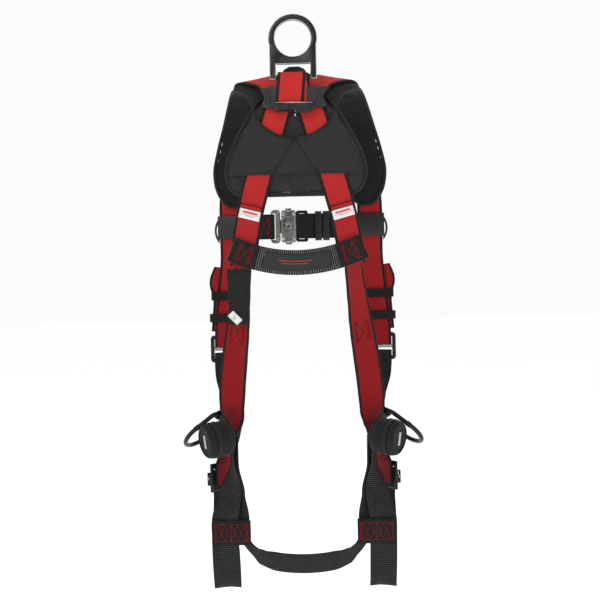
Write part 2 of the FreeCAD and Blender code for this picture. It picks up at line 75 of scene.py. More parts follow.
def paint(red, green, blue):
    # screen values 0-255 to the linear colour a shader wants
    def linear(c):
        c /= 255
        return c / 12.92 if c <= 0.04045 else ((c + 0.055) / 1.055) ** 2.4
    return (linear(red), linear(green), linear(blue), 1.0)


def dimmed(colour, share):
    return [c * share for c in colour[:3]] + [1]


def addNode(tree, kind, inputs=None, **settings):
    node = tree.nodes.new(kind)
    for key, value in settings.items():
        setattr(node, key, value)
    for key, value in (inputs or {}).items():
        if isinstance(value, bpy.types.NodeSocket):
            tree.links.new(value, node.inputs[key])
        else:
            node.inputs[key].default_value = value
    return node


def calc(tree, operation, *values, clamp=False):
    inputs = dict(enumerate(values))
    return addNode(tree, "ShaderNodeMath", inputs, operation=operation, use_clamp=clamp).outputs[0]


def mixColour(tree, factor, first, second):
    inputs = {0: factor, 6: first, 7: second}
    return addNode(tree, "ShaderNodeMix", inputs, data_type="RGBA").outputs[2]


def waveOf(tree, value, pitch, sharp=1.0):
    # 0-1 wave with the given pitch in metres, pinched when sharp is above 1
    turned = calc(tree, "MULTIPLY", value, 2 * math.pi / pitch)
    raised = calc(tree, "MULTIPLY_ADD", calc(tree, "SINE", turned), 0.5, 0.5)
    return calc(tree, "POWER", raised, sharp)


def noiseOf(tree, place, size, detail=2.0):
    inputs = {"Vector": place, "Scale": 1 / size, "Detail": detail, "Roughness": 0.55}
    return addNode(tree, "ShaderNodeTexNoise", inputs).outputs[0]


clothShine = {"Roughness": 0.8, "Sheen Weight": 0.04, "Specular IOR Level": 0.2}


def startMaterial(name, **shine):
    material = bpy.data.materials.new(name)
    material.use_nodes = True
    tree = material.node_tree
    shader = tree.nodes["Principled BSDF"]
    for key, value in shine.items():
        shader.inputs[key].default_value = value
    return material, tree, shader


def objectPlace(tree):
    place = addNode(tree, "ShaderNodeTexCoord").outputs["Object"]
    x, y, z = addNode(tree, "ShaderNodeSeparateXYZ", {0: place}).outputs
    return place, x, y, z


def weavePlace(tree):
    # across and along the webbing, in metres
    place = addNode(tree, "ShaderNodeUVMap", uv_map="weave").outputs[0]
    u, v, unused = addNode(tree, "ShaderNodeSeparateXYZ", {0: place}).outputs
    return place, u, v


def addBump(tree, shader, height, depth, strength=1.0):
    inputs = {"Height": height, "Distance": depth, "Strength": strength}
    tree.links.new(addNode(tree, "ShaderNodeBump", inputs).outputs[0], shader.inputs["Normal"])


def setColour(tree, shader, colour):
    tree.links.new(colour, shader.inputs["Base Color"])


# webbing, read from its own weave map

selvedge = {"half": 22.25, "toothPitch": 2.4, "dark": 0.45}


def webbing(name, colours, pitch=3.0, edge=4.6, lean=1.0, depth=0.4, hipShade=None):
    face, dark, rim = colours
    half, edgePitch = selvedge["half"], selvedge["toothPitch"]
    material, tree, shader = startMaterial(name, **clothShine)
    place, u, v = weavePlace(tree)
    slant = calc(tree, "MULTIPLY_ADD", v, lean, u)
    twill = waveOf(tree, slant, pitch * mm, 1.3)
    pick = waveOf(tree, v, 1.15 * mm)
    teeth = waveOf(tree, v, edgePitch * mm, 0.7)
    side = calc(tree, "ABSOLUTE", u)
    inEdge = calc(tree, "GREATER_THAN", side, (half - edge) * mm)
    tooth = calc(tree, "MULTIPLY_ADD", teeth, 0.9 * mm, (half - edge - 0.5) * mm)
    rimMask = calc(tree, "GREATER_THAN", side, tooth)
    stain = noiseOf(tree, place, 0.035, 3)
    shade = calc(tree, "MULTIPLY_ADD", twill, 0.75, calc(tree, "MULTIPLY", stain, 0.4), clamp=True)
    body = mixColour(tree, shade, dark, face)
    if hipShade:
        # painted shade: the red is darkened towards the hips, lower down where less light falls
        low = addNode(tree, "ShaderNodeMapRange", {0: objectPlace(tree)[3], 1: -0.12, 2: -0.5}).outputs[0]
        body = mixColour(tree, low, body, mixColour(tree, shade, dimmed(hipShade, 0.6), hipShade))
    rimColour = mixColour(tree, teeth, dimmed(rim, selvedge["dark"]), rim)
    setColour(tree, shader, mixColour(tree, rimMask, body, rimColour))
    weave = calc(tree, "MULTIPLY_ADD", pick, 0.35, twill)
    height = calc(tree, "MULTIPLY", weave, calc(tree, "SUBTRACT", 1.0, inEdge))
    height = calc(tree, "MULTIPLY_ADD", calc(tree, "MULTIPLY", teeth, inEdge), 0.9, height)
    addBump(tree, shader, height, depth * mm, 0.8)
    rough = calc(tree, "MULTIPLY_ADD", stain, 0.25, 0.6)
    tree.links.new(rough, shader.inputs["Roughness"])
    return material


def ribbedWeb(name, colours, pitch=3.4, chevron=0.0):
    # heavy black webbing: raised cross ribs; the crowns carry a painted highlight and the valleys the
    # webbing's black deepened with painted shade
    crownHighlight, valleyShade = colours
    material, tree, shader = startMaterial(name, **clothShine)
    place, u, v = weavePlace(tree)
    bend = calc(tree, "MULTIPLY_ADD", calc(tree, "ABSOLUTE", u), chevron, v)
    rib = waveOf(tree, calc(tree, "ADD", bend, pitch * mm / 4), pitch * mm, 1.6)
    fine = waveOf(tree, u, 1.3 * mm)
    stain = noiseOf(tree, place, 0.02, 3)
    shade = calc(tree, "MULTIPLY", rib, calc(tree, "MULTIPLY_ADD", stain, 0.9, 0.25), clamp=True)
    setColour(tree, shader, mixColour(tree, shade, valleyShade, crownHighlight))
    addBump(tree, shader, calc(tree, "MULTIPLY_ADD", fine, 0.3, rib), 0.45 * mm, 0.7)
    return material


# pad cloth, read from the object's own place

def spacerMesh(name, light, dark, seamZ=None, hole=3.0):
    # open hexagon-like mesh; above seamZ the cloth turns to fine vertical ribs
    material, tree, shader = startMaterial(name, **clothShine)
    place, x, y, z = objectPlace(tree)
    across = calc(tree, "MULTIPLY_ADD", y, 0.6, x)
    one = waveOf(tree, calc(tree, "ADD", across, calc(tree, "MULTIPLY", z, 0.577)), hole * mm)
    two = waveOf(tree, calc(tree, "SUBTRACT", across, calc(tree, "MULTIPLY", z, 0.577)), hole * mm)
    dots = calc(tree, "MULTIPLY", one, two)
    stain = noiseOf(tree, place, 0.03, 3)
    holes = calc(tree, "MULTIPLY", dots, calc(tree, "MULTIPLY_ADD", stain, 0.8, 0.5), clamp=True)
    height = dots
    if seamZ is not None:
        rib = waveOf(tree, x, 3.6 * mm, 0.8)
        above = calc(tree, "GREATER_THAN", z, seamZ * mm)
        ribs = calc(tree, "MULTIPLY", rib, 0.35)
        holes = addNode(tree, "ShaderNodeMix", {0: above, 2: holes, 3: ribs}).outputs[0]
        height = addNode(tree, "ShaderNodeMix", {0: above, 2: dots, 3: rib}).outputs[0]
    setColour(tree, shader, mixColour(tree, holes, dark, light))
    addBump(tree, shader, height, 0.7 * mm, 0.7)
    return material


def plainCloth(name, light, dark, grain=1.1):
    material, tree, shader = startMaterial(name, **clothShine)
    place, x, y, z = objectPlace(tree)
    warp = waveOf(tree, calc(tree, "ADD", x, y), grain * mm)
    weft = waveOf(tree, z, grain * mm)
    weave = calc(tree, "MULTIPLY", warp, weft)
    cloudy = noiseOf(tree, place, 0.025, 4)
    speck = noiseOf(tree, place, 0.0016, 2)
    shade = calc(tree, "MULTIPLY_ADD", speck, 0.5, calc(tree, "MULTIPLY", cloudy, 0.5), clamp=True)
    setColour(tree, shader, mixColour(tree, shade, dark, light))
    addBump(tree, shader, calc(tree, "ADD", weave, speck), 0.25 * mm, 0.6)
    return material


def steel(name, light, dark, rough=0.3, metallic=1.0, grain=0.012, scratch=0.5):
    # plated steel: soft blotches and fine scratches that vary its tone, roughness and bump
    material, tree, shader = startMaterial(name, Metallic=metallic)
    place, x, y, z = objectPlace(tree)
    blotch = noiseOf(tree, place, grain, 4)
    stretched = addNode(tree, "ShaderNodeMapping", {0: place, "Scale": (1, 1, 14)}).outputs[0]
    scratches = noiseOf(tree, stretched, 0.004, 5)
    shade = calc(tree, "MULTIPLY_ADD", scratches, scratch, calc(tree, "MULTIPLY", blotch, 0.6), clamp=True)
    setColour(tree, shader, mixColour(tree, shade, dark, light))
    tree.links.new(calc(tree, "MULTIPLY_ADD", blotch, 0.25, rough - 0.12), shader.inputs["Roughness"])
    addBump(tree, shader, calc(tree, "ADD", scratches, blotch), 0.06 * mm, 0.35)
    return material


def moulded(name, light, dark, rough=0.45, pebble=0.9):
    # injection-moulded plastic with a fine pebble and a few duller patches
    material, tree, shader = startMaterial(name, Roughness=rough)
    place, x, y, z = objectPlace(tree)
    cells = addNode(tree, "ShaderNodeTexVoronoi", {"Vector": place, "Scale": 1000 / pebble}).outputs[0]
    cloudy = noiseOf(tree, place, 0.018, 3)
    setColour(tree, shader, mixColour(tree, cloudy, dark, light))
    tree.links.new(calc(tree, "MULTIPLY_ADD", cloudy, 0.25, rough - 0.1), shader.inputs["Roughness"])
    addBump(tree, shader, cells, 0.12 * mm, 0.4)
    return material


def printed(name, ground, ink=None, bars=()):
    # a woven label with plain ink bars: each bar is (along from, along to, across from, across to)
    material, tree, shader = startMaterial(name, Roughness=0.6)
    place, u, v = weavePlace(tree)
    weave = calc(tree, "MULTIPLY", waveOf(tree, u, 0.8 * mm), waveOf(tree, v, 0.8 * mm))
    stain = noiseOf(tree, place, 0.02, 3)
    colour = mixColour(tree, stain, dimmed(ground, 0.8), ground)
    for v0, v1, u0, u1 in bars:
        inside = 1.0
        for value, low, high in ((v, v0, v1), (u, u0, u1)):
            inside = calc(tree, "MULTIPLY", calc(tree, "GREATER_THAN", value, low * mm), inside)
            inside = calc(tree, "MULTIPLY", calc(tree, "LESS_THAN", value, high * mm), inside)
        colour = mixColour(tree, inside, colour, ink)
    setColour(tree, shader, colour)
    addBump(tree, shader, weave, 0.12 * mm, 0.5)
    return material


redColours = (paint(222, 56, 50), paint(150, 16, 22), paint(30, 30, 30))
# painted shade: this red darkens to the hip shade colour lower down
redWebbing = webbing("redTwillWebbing", redColours, hipShade=paint(150, 12, 22))
blackColours = (paint(37, 37, 37), paint(13, 13, 14), paint(28, 28, 28))
tapeColours = (paint(34, 34, 34), paint(16, 16, 16), paint(24, 24, 24))
blackWebbing = webbing("blackWebbing", blackColours, pitch=1.8, edge=1.5, depth=0.25)
elasticTape = webbing("elasticTape", tapeColours, pitch=1.2, lean=0)
# each ribbed webbing: a painted highlight colour for the rib crowns, then the valley colour with painted
# shade
bandWeb = ribbedWeb("ribbedBandWebbing", (paint(126, 125, 121), paint(8, 8, 8)))
legWeb = ribbedWeb("ribbedLegWebbing", (paint(74, 74, 72), paint(12, 12, 13)), pitch=3.2)
chevronWeb = ribbedWeb("chevronWebbing", (paint(64, 64, 62), paint(12, 12, 13)), pitch=3.2, chevron=0.8)
padCloth = spacerMesh("spacerMeshCloth", paint(92, 90, 86), paint(14, 14, 14))
frontPadCloth = spacerMesh("ribbedPadLining", paint(56, 55, 52), paint(9, 9, 9), seamZ=-106)
coverCloth = plainCloth("coverCloth", paint(52, 51, 51), paint(34, 34, 34))
bindingTape = plainCloth("bindingTape", paint(46, 45, 44), paint(24, 24, 24), grain=1.8)
pouchCloth = plainCloth("pouchCloth", paint(40, 40, 40), paint(18, 18, 18), grain=1.4)
nickelSteel = steel("darkNickelSteel", paint(66, 66, 64), paint(34, 34, 34), rough=0.34)
buckleSteel = steel("brushedBuckleSteel", paint(176, 176, 172), paint(74, 74, 72), rough=0.3, grain=0.007)
blackSteel = steel("blackenedSteel", paint(52, 52, 52), paint(20, 20, 20), rough=0.4, metallic=0.7)
springSteel = steel("springSteel", paint(190, 190, 186), paint(120, 120, 118), rough=0.22)
blackPlastic = moulded("blackMouldedPlastic", paint(32, 32, 33), paint(15, 15, 16))
glossPlastic = moulded("glossyLipPlastic", paint(34, 30, 31), paint(16, 14, 15), rough=0.22, pebble=3.0)
redThread = plainCloth("redThread", paint(206, 22, 30), paint(140, 8, 16), grain=0.8)
blackThread = plainCloth("blackThread", paint(20, 20, 20), paint(8, 8, 8), grain=0.8)
greyThread = plainCloth("greyThread", paint(124, 124, 118), paint(76, 76, 72), grain=0.8)
dullThread = plainCloth("dullThread", paint(84, 78, 74), paint(44, 40, 40), grain=0.8)
print("materials made:", len(bpy.data.materials))


# mesh helpers

def addObject(name, mesh):
    thing = bpy.data.objects.new(name, mesh)
    scene.collection.objects.link(thing)
    return thing


def meshOf(name, points, faces, material, uvs=None):
    # points in millimetres; uvs, one per point, in millimetres too
    mesh = bpy.data.meshes.new(name)
    mesh.from_pydata([Vector(p) * mm for p in points], [], faces)
    mesh.materials.append(material)
    mesh.polygons.foreach_set("use_smooth", [True] * len(mesh.polygons))
    if uvs:
        layer = mesh.uv_layers.new(name="weave").data
        for loop in mesh.loops:
            u, v = uvs[loop.vertex_index]
            layer[loop.index].uv = (u * mm, v * mm)
    mesh.update()
    return mesh


def mirroredMesh(mesh, name):
    other = mesh.copy()
    other.name = name
    for vertex in other.vertices:
        vertex.co.x = -vertex.co.x
    other.flip_normals()
    return other


def place(name, mesh, body, slot, replaced=()):
    thing = addObject(name, mesh)
    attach(thing, body)
    if replaced:
        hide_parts(*replaced)
    return thing


def placePair(name, mesh, slot, replaced=(), bodies=("root", "root")):
    # the right piece and its mirror image; replaced holds (right nodes, left nodes)
    right, left = replaced or ((), ())
    made = [place(name + "R", mesh, bodies[0], slot, right)]
    made.append(place(name + "L", mirroredMesh(mesh, name + "L"), bodies[1], slot, left))
    return made


def joined(name, meshes):
    # several meshes made one, each keeping its own material
    holder = bmesh.new()
    materials = []
    for mesh in meshes:
        start = len(holder.faces)
        holder.from_mesh(mesh)
        holder.faces.ensure_lookup_table()
        slots = []
        for material in mesh.materials:
            if material not in materials:
                materials.append(material)
            slots.append(materials.index(material))
        for face in holder.faces[start:]:
            face.material_index = slots[min(face.material_index, len(slots) - 1)]
    result = bpy.data.meshes.new(name)
    holder.to_mesh(result)
    holder.free()
    for material in materials:
        result.materials.append(material)
    return result


def curvePoint(points, i, share):
    # centripetal Catmull-Rom between points i and i + 1
    p1, p2 = points[i], points[i + 1]
    p0 = points[i - 1] if i else p1 * 2 - p2
    p3 = points[i + 2] if i + 2 < len(points) else p2 * 2 - p1
    knots = [0.0]
    for a, b in ((p0, p1), (p1, p2), (p2, p3)):
        knots.append(knots[-1] + max((b - a).length, 1e-6) ** 0.5)
    t = knots[1] + (knots[2] - knots[1]) * share

    def between(a, b, low, high):
        return a.lerp(b, (t - low) / (high - low))
    a1, a2, a3 = (between(*pair) for pair in ((p0, p1, knots[0], knots[1]), (p1, p2, knots[1], knots[2]),
                                             (p2, p3, knots[2], knots[3])))
    b1, b2 = between(a1, a2, knots[0], knots[2]), between(a2, a3, knots[1], knots[3])
    return between(b1, b2, knots[1], knots[2])


def smoothPath(points, step):
    points = [Vector(p) for p in points]
    made = []
    for i in range(len(points) - 1):
        count = max(1, round((points[i + 1] - points[i]).length / step))
        made += [(curvePoint(points, i, k / count), i + k / count) for k in range(count)]
    return made + [(points[-1], len(points) - 1)]


def rowsThrough(stations, step=3.0):
    # (centre, width direction, face direction, length so far) for every few millimetres of strap
    path = smoothPath([s[0] for s in stations], step)
    sides = [Vector(s[1]).normalized() for s in stations]
    rows, length = [], 0.0
    for k, (centre, at) in enumerate(path):
        along = path[min(k + 1, len(path) - 1)][0] - path[max(k - 1, 0)][0]
        if k:
            length += (centre - path[k - 1][0]).length
        i = min(int(at), len(sides) - 2)
        share = at - i
        share = share * share * (3 - 2 * share)
        side = sides[i].lerp(sides[i + 1], share)
        side = (side - along * (side.dot(along) / along.length_squared)).normalized()
        rows.append((centre, side, side.cross(along).normalized(), length))
    return rows


def onStrap(rows, across, along, lift=0.0):
    # a point on a strap: millimetres across from its middle, along from its start, off its middle surface
    k = 0
    while k < len(rows) - 2 and rows[k + 1][3] < along:
        k += 1
    a, b = rows[k], rows[k + 1]
    share = (along - a[3]) / max(b[3] - a[3], 1e-6)
    share = min(max(share, 0.0), 1.0)
    side, face = a[1].lerp(b[1], share), a[2].lerp(b[2], share)
    return a[0].lerp(b[0], share) + side * across + face * lift


def ringQuads(rings, sides, closed=False):
    # the quads between each ring of points and the next
    faces = []
    for k in range(rings if closed else rings - 1):
        low, high = k * sides, (k + 1) % rings * sides
        for i in range(sides):
            j = (i + 1) % sides
            faces.append((low + i, low + j, high + j, high + i))
    return faces


def ribbonMesh(name, rows, material, width=44.5, thick=2.0, cup=0.0, rib=None, selvedge=True):
    # closed webbing: round woven edges, a slight crease inside each selvedge, and raised ribs if asked
    half = width / 2
    edge = 3.6 if selvedge else 1.2
    columns = [(-half, 0.0), (-half + 0.35, 0.62), (-half + 1.2, 0.96), (-half + edge - 0.7, 0.96),
               (-half + edge, 0.82), (-half + edge + 0.9, 1.0), (-half * 0.55, 1.0), (-half * 0.28, 1.0),
               (0.0, 1.0)]
    columns += [(-a, h) for a, h in reversed(columns[:-1])]
    profile = columns + [(a, -h) for a, h in reversed(columns[1:-1])]
    points, uvs = [], []
    for centre, side, face, length in rows:
        swell = 1.0
        if rib:
            pitch, height = rib
            swell += height / thick * (1 + math.cos(2 * math.pi * length / pitch))
        for a, h in profile:
            raised = h * thick / 2 * (swell if abs(a) < half - 0.5 else 1.0) + cup * (1 - (a / half) ** 2)
            points.append(centre + side * a + face * raised)
            uvs.append((a, length))
    n = len(profile)
    faces = ringQuads(len(rows), n)
    last = (len(rows) - 1) * n
    faces.append(tuple(reversed(range(n))))
    faces.append(tuple(last + i for i in range(n)))
    mesh = meshOf(name, points, faces, material, uvs)
    outward(mesh)
    return mesh


def outward(mesh):
    holder = bmesh.new()
    holder.from_mesh(mesh)
    bmesh.ops.recalc_face_normals(holder, faces=holder.faces)
    holder.to_mesh(mesh)
    holder.free()


def tubeMesh(name, path, material, radius, closed=False, flat=1.0, flatWay=(0, 1, 0), sides=10):
    # a round or flattened tube along points, for bindings, welts and wire
    path = [Vector(p) for p in path]
    points, uvs, length = [], [], 0.0
    count = len(path)
    up = Vector(flatWay)
    for k, centre in enumerate(path):
        ahead = path[(k + 1) % count] if closed else path[min(k + 1, count - 1)]
        behind = path[k - 1] if closed or k else path[0]
        along = (ahead - behind).normalized()
        side = along.cross(up)
        side = side.normalized() if side.length > 1e-5 else along.orthogonal().normalized()
        normal = side.cross(along)
        if k:
            length += (centre - path[k - 1]).length
        for i in range(sides):
            turn = 2 * math.pi * i / sides
            sideways = centre + side * (math.cos(turn) * radius)
            points.append(sideways + normal * (math.sin(turn) * radius * flat))
            uvs.append((turn * radius, length))
    faces = ringQuads(count, sides, closed)
    if not closed:
        faces.append(tuple(reversed(range(sides))))
        faces.append(tuple((count - 1) * sides + i for i in range(sides)))
    mesh = meshOf(name, points, faces, material, uvs)
    outward(mesh)
    return mesh


def evaluatedMesh(thing):
    graph = bpy.context.evaluated_depsgraph_get()
    return bpy.data.meshes.new_from_object(thing.evaluated_get(graph), depsgraph=graph)


sharpAngle = {"castPart": 32, "cutPlate": 50}


def roundedEdges(name, mesh, width, segments, angle, clamped=True, edgeSlot=0):
    # the mesh with every edge sharper than the angle rounded; the rounds take the material in edgeSlot
    thing = addObject(name + "Work", mesh)
    bevel = thing.modifiers.new("edges", "BEVEL")
    bevel.width = width * mm
    bevel.segments = segments
    bevel.limit_method = "ANGLE"
    bevel.angle_limit = math.radians(angle)
    bevel.harden_normals = True
    bevel.use_clamp_overlap = clamped
    bevel.material = edgeSlot
    final = evaluatedMesh(thing)
    final.name = name
    bpy.data.objects.remove(thing)
    return final


def roundedCopy(node, name, materials, width, segments, clamped, merged):
    # the CAD piece with doubled points joined, flat faces made whole if merged, and its edges rounded
    mesh = frame["nodes"][node].data.copy()
    mesh.materials.clear()
    for material in materials:
        mesh.materials.append(material)
    holder = bmesh.new()
    holder.from_mesh(mesh)
    bmesh.ops.remove_doubles(holder, verts=holder.verts, dist=1e-6)
    if merged:
        bmesh.ops.dissolve_limit(holder, angle_limit=math.radians(2), verts=holder.verts, edges=holder.edges)
    for face in holder.faces:
        face.smooth = True
        face.material_index = 0
    for edge in holder.edges:
        edge.smooth = True
    holder.to_mesh(mesh)
    holder.free()
    return roundedEdges(name, mesh, width, segments, sharpAngle["castPart"], clamped, len(materials) - 1)


def refined(node, name, material, slot, width=0.5, segments=2, edgeHighlightMaterial=None, clamped=True):
    materials = [material, edgeHighlightMaterial] if edgeHighlightMaterial else [material]
    final = roundedCopy(node, name, materials, width, segments, clamped, True)
    final.calc_loop_triangles()
    drawn = sum(triangle.area for triangle in final.loop_triangles)
    if abs(drawn / sum(face.area for face in final.polygons) - 1) > 0.01:
        # a merged face is drawn across its own window, so the small faces stay
        final = roundedCopy(node, name, materials, width, segments, clamped, False)
        print("kept small faces:", node)
    return place(name, final, frame["nodes"][node]["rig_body"], slot, [node])


# stitches: one tree lays a short thread along every line it is given

def stitchTree():
    tree = bpy.data.node_groups.new("stitchLine", "GeometryNodeTree")
    sockets = tree.interface
    sockets.new_socket("Lines", in_out="INPUT", socket_type="NodeSocketGeometry")
    for label, value in (("Stitch length", 0.0026), ("Gap", 0.0010), ("Thread radius", 0.0004)):
        socket = sockets.new_socket(label, in_out="INPUT", socket_type="NodeSocketFloat")
        socket.default_value = value
    sockets.new_socket("Thread", in_out="INPUT", socket_type="NodeSocketMaterial")
    sockets.new_socket("Stitches", in_out="OUTPUT", socket_type="NodeSocketGeometry")
    given = addNode(tree, "NodeGroupInput").outputs
    lines = addNode(tree, "GeometryNodeMeshToCurve", {"Mesh": given["Lines"]}).outputs[0]
    pitch = calc(tree, "ADD", given["Stitch length"], given["Gap"])
    sampled = addNode(tree, "GeometryNodeResampleCurve", {"Curve": lines, "Length": pitch}, mode="LENGTH")
    tangent = addNode(tree, "GeometryNodeInputTangent").outputs[0]
    turn = addNode(tree, "FunctionNodeAlignRotationToVector", {"Vector": tangent}, axis="Z").outputs[0]
    thread = addNode(tree, "GeometryNodeMeshUVSphere", {"Segments": 6, "Rings": 4, "Radius": 1.0}).outputs[0]
    halfLength = calc(tree, "MULTIPLY", given["Stitch length"], 0.5)
    radius = given["Thread radius"]
    size = addNode(tree, "ShaderNodeCombineXYZ", {0: radius, 1: radius, 2: halfLength}).outputs[0]
    copies = addNode(tree, "GeometryNodeInstanceOnPoints",
                     {"Points": sampled.outputs[0], "Instance": thread, "Rotation": turn, "Scale": size})
    real = addNode(tree, "GeometryNodeRealizeInstances", {0: copies.outputs[0]}).outputs[0]
    finished = addNode(tree, "GeometryNodeSetMaterial", {"Geometry": real, "Material": given["Thread"]})
    out = addNode(tree, "NodeGroupOutput")
    tree.links.new(finished.outputs[0], out.inputs[0])
    return tree


stitchGroup = stitchTree()


def grown(name, mesh, group, wanted):
    # the finished mesh that a tree makes of the given one, with its inputs set by name
    thing = addObject(name + "Work", mesh)
    layer = thing.modifiers.new("grown", "NODES")
    layer.node_group = group
    for item in group.interface.items_tree:
        if item.in_out == "INPUT" and item.name in wanted:
            layer[item.identifier] = wanted[item.name]
    final = evaluatedMesh(thing)
    final.name = name
    final.polygons.foreach_set("use_smooth", [True] * len(final.polygons))
    bpy.data.objects.remove(thing)
    return final


def stitchMesh(name, lines, thread, length=2.6, gap=1.0, radius=0.42):
    # lines in millimetres, each a list of points on the cloth
    mesh = bpy.data.meshes.new(name)
    points, edges = [], []
    for line in lines:
        first = len(points)
        points += [Vector(p) * mm for p in line]
        edges += [(first + i, first + i + 1) for i in range(len(line) - 1)]
    mesh.from_pydata(points, edges, [])
    wanted = {"Stitch length": length * mm, "Gap": gap * mm, "Thread radius": radius * mm, "Thread": thread}
    return grown(name, mesh, stitchGroup, wanted)


def sewPair(name, slot, lines, thread, *sizes):
    # the same stitches on both sides, with their length, gap and radius
    placePair(name, stitchMesh(name, lines, thread, *sizes), slot)


def zigzag(start, end, reach, pitch):
    # a zigzag in the flat, from start to end, swinging by reach either side
    start, end = Vector(start), Vector(end)
    along = end - start
    across = Vector((-along.y, along.x)).normalized() * reach
    count = max(2, round(along.length / pitch))
    return [start + along * (k / count) + across * (1 if k % 2 else -1) for k in range(count + 1)]


def boxPattern(halfWidth, halfLength, column=2.4, pitch=2.0):
    # dense zigzag columns down both sides with a cross between, in (across, along)
    inner = halfWidth - 2 * column
    middle = halfWidth - column
    lines = [zigzag((s * middle, -halfLength), (s * middle, halfLength), column, pitch) for s in (-1, 1)]
    lines += [[Vector((-inner, -halfLength * s)), Vector((inner, halfLength * s))] for s in (-1, 1)]
    return lines


def layOn(rows, lines, along, lift):
    # flat stitch lines laid on a strap, centred the given distance along it
    made = []
    for line in lines:
        laid = []
        for p, q in zip(line, line[1:]):
            count = max(1, round((q - p).length / 4))
            laid += [onStrap(rows, *p.lerp(q, k / count) + Vector((0, along)), lift) for k in range(count)]
        end = line[-1]
        laid.append(onStrap(rows, end.x, end.y + along, lift))
        made.append(laid)
    return made
print("helpers ready")


def turned(angle):
    return (math.cos(math.radians(angle)), math.sin(math.radians(angle)), 0)


def faceBack(thick):
    # lift that puts a thread on the side of a strap that faces the camera
    return -(thick / 2 + 0.25)


# dorsal web: two crossed strips folded over the ring's bar, the left-leaning one on top

dorsalLoop = {"barZ": -61.5, "outer": 7.5, "inner": 5.4, "foot": -112.0, "lean": 0.1, "shift": 2.6,
              "thick": 1.9}


def dorsalStrip(radius, way):
    d = dorsalLoop
    stations = []
    for z in (d["foot"], -100.0, -86.0, -73.0):
        x = way * (d["shift"] + d["lean"] * (d["barZ"] - z))
        stations.append(((x, -radius, z), (1, 0, -way * d["lean"])))
    for turn in range(0, 181, 20):
        t = math.radians(turn)
        spot = (way * d["shift"], -radius * math.cos(t), d["barZ"] + radius * math.sin(t))
        stations.append((spot, (1, 0, 0)))
    for z in (-72.0, -94.0):
        stations.append(((way * d["shift"], radius, z), (1, 0, 0)))
    rows = rowsThrough(stations, 2.0)
    return ribbonMesh("strip", rows, redWebbing, thick=d["thick"], cup=-0.4)


dorsalWeb = place("dorsalWeb", joined("dorsalWeb", [dorsalStrip(dorsalLoop["outer"], -1),
                                                    dorsalStrip(dorsalLoop["inner"], 1)]),
                  "root", "red_webbing", ["dorsal_web"])


# shoulder straps, from the plate over the crest and down the chest to the adjusters

shoulderStrap = {
    "path": [((19, 9.8, -92), (0.8, 0, -0.6)), ((31, 17.5, -79), (0.82, -0.3, -0.5)),
             ((43, 34.5, -63.5), (0.87, -0.36, -0.33)), ((64, 63, -54.5), (0.96, 0.1, -0.16)),
             ((79, 97, -53), (0.98, 0.1, -0.12)), ((85, 136, -55.5), (0.98, 0.14, -0.12)),
             ((92, 178, -72.5), (0.98, 0.12, -0.12)), ((100, 212, -104), (0.98, 0.06, -0.14)),
             ((110, 230.2, -146), (0.99, 0, -0.05)), ((117, 238.2, -190), (1, 0, 0)),
             ((121, 240.6, -225), (1, 0, 0)), ((123, 242, -250), (1, 0, 0)), ((123, 242, -300), (1, 0, 0)),
             ((123, 242, -345), (1, 0, 0)), ((128, 236, -400), (1, 0, 0)), ((132, 226, -450), (1, 0, 0)),
             ((134, 220, -482), (1, 0, 0)), ((134, 219.2, -499), (1, 0, 0))]}
strapRows = rowsThrough(shoulderStrap["path"])
placePair("shoulderStrap", ribbonMesh("shoulderStrap", strapRows, redWebbing, cup=0.5), "red_webbing",
          (["shoulder_strap_R"], ["shoulder_strap_L"]))


# back pad, cover and neck pad

backPad = {"faceY": 6.0, "wrap": 8.0, "half": 112.0, "thick": 13.0, "lean": 0.3, "leanZ": -121.0,
           "rows": [(-248, 86), (-243, 98), (-230, 108), (-212, 112), (-190, 108), (-160, 95),
                    (-121, 73), (-105, 62), (-93, 54), (-86, 52)],
           "rim": 0.42, "shoulder": 15.0, "columns": 32, "rowStep": 6.0}


def padY(x, z):
    return (backPad["faceY"] + backPad["wrap"] * (x / backPad["half"]) ** 2
            + backPad["lean"] * max(0.0, z - backPad["leanZ"]))


def borderOf(grid):
    rows, columns = len(grid), len(grid[0])
    loop = [grid[0][c] for c in range(columns)] + [grid[r][-1] for r in range(1, rows)]
    loop += [grid[-1][c] for c in range(columns - 2, -1, -1)] + [grid[r][0] for r in range(rows - 2, 0, -1)]
    return loop


def rimFactor(point, border, rim, shoulder):
    # 0-1 share of full thickness: rim at the edge, round up to 1 a little way in
    near = min((point - b).length for b in border)
    share = min(1.0, near / shoulder)
    return rim + (1 - rim) * math.sqrt(1 - (1 - share) ** 2)


def gridNormal(grid, r, c):
    down = grid[min(r + 1, len(grid) - 1)][c] - grid[max(r - 1, 0)][c]
    across = grid[r][min(c + 1, len(grid[0]) - 1)] - grid[r][max(c - 1, 0)]
    return down.cross(across).normalized()


def padMesh(name, grid, thick, material, rim=0.42, shoulder=15.0):
    # a closed crowned shell either side of a grid of middle points
    rows, columns = len(grid), len(grid[0])
    border = borderOf(grid)
    points = []
    for sign in (-1, 1):
        for r in range(rows):
            for c in range(columns):
                p = grid[r][c]
                half = thick / 2 * rimFactor(p, border, rim, shoulder)
                points.append(p + gridNormal(grid, r, c) * (sign * half))
    size = rows * columns
    faces = []
    for r in range(rows - 1):
        for c in range(columns - 1):
            a = r * columns + c
            quad = (a, a + 1, a + columns + 1, a + columns)
            faces.append(quad)
            faces.append(tuple(size + i for i in reversed(quad)))
    ring = [c for c in range(columns)] + [r * columns + columns - 1 for r in range(1, rows)]
    ring += [(rows - 1) * columns + c for c in range(columns - 2, -1, -1)]
    ring += [r * columns for r in range(rows - 2, 0, -1)]
    for i, a in enumerate(ring):
        b = ring[(i + 1) % len(ring)]
        faces.append((a, a + size, b + size, b))
    mesh = meshOf(name, points, faces, material)
    outward(mesh)
    return mesh


filling = {"pressure": 4.0, "frames": 20, "stretch": 20, "bend": 2}


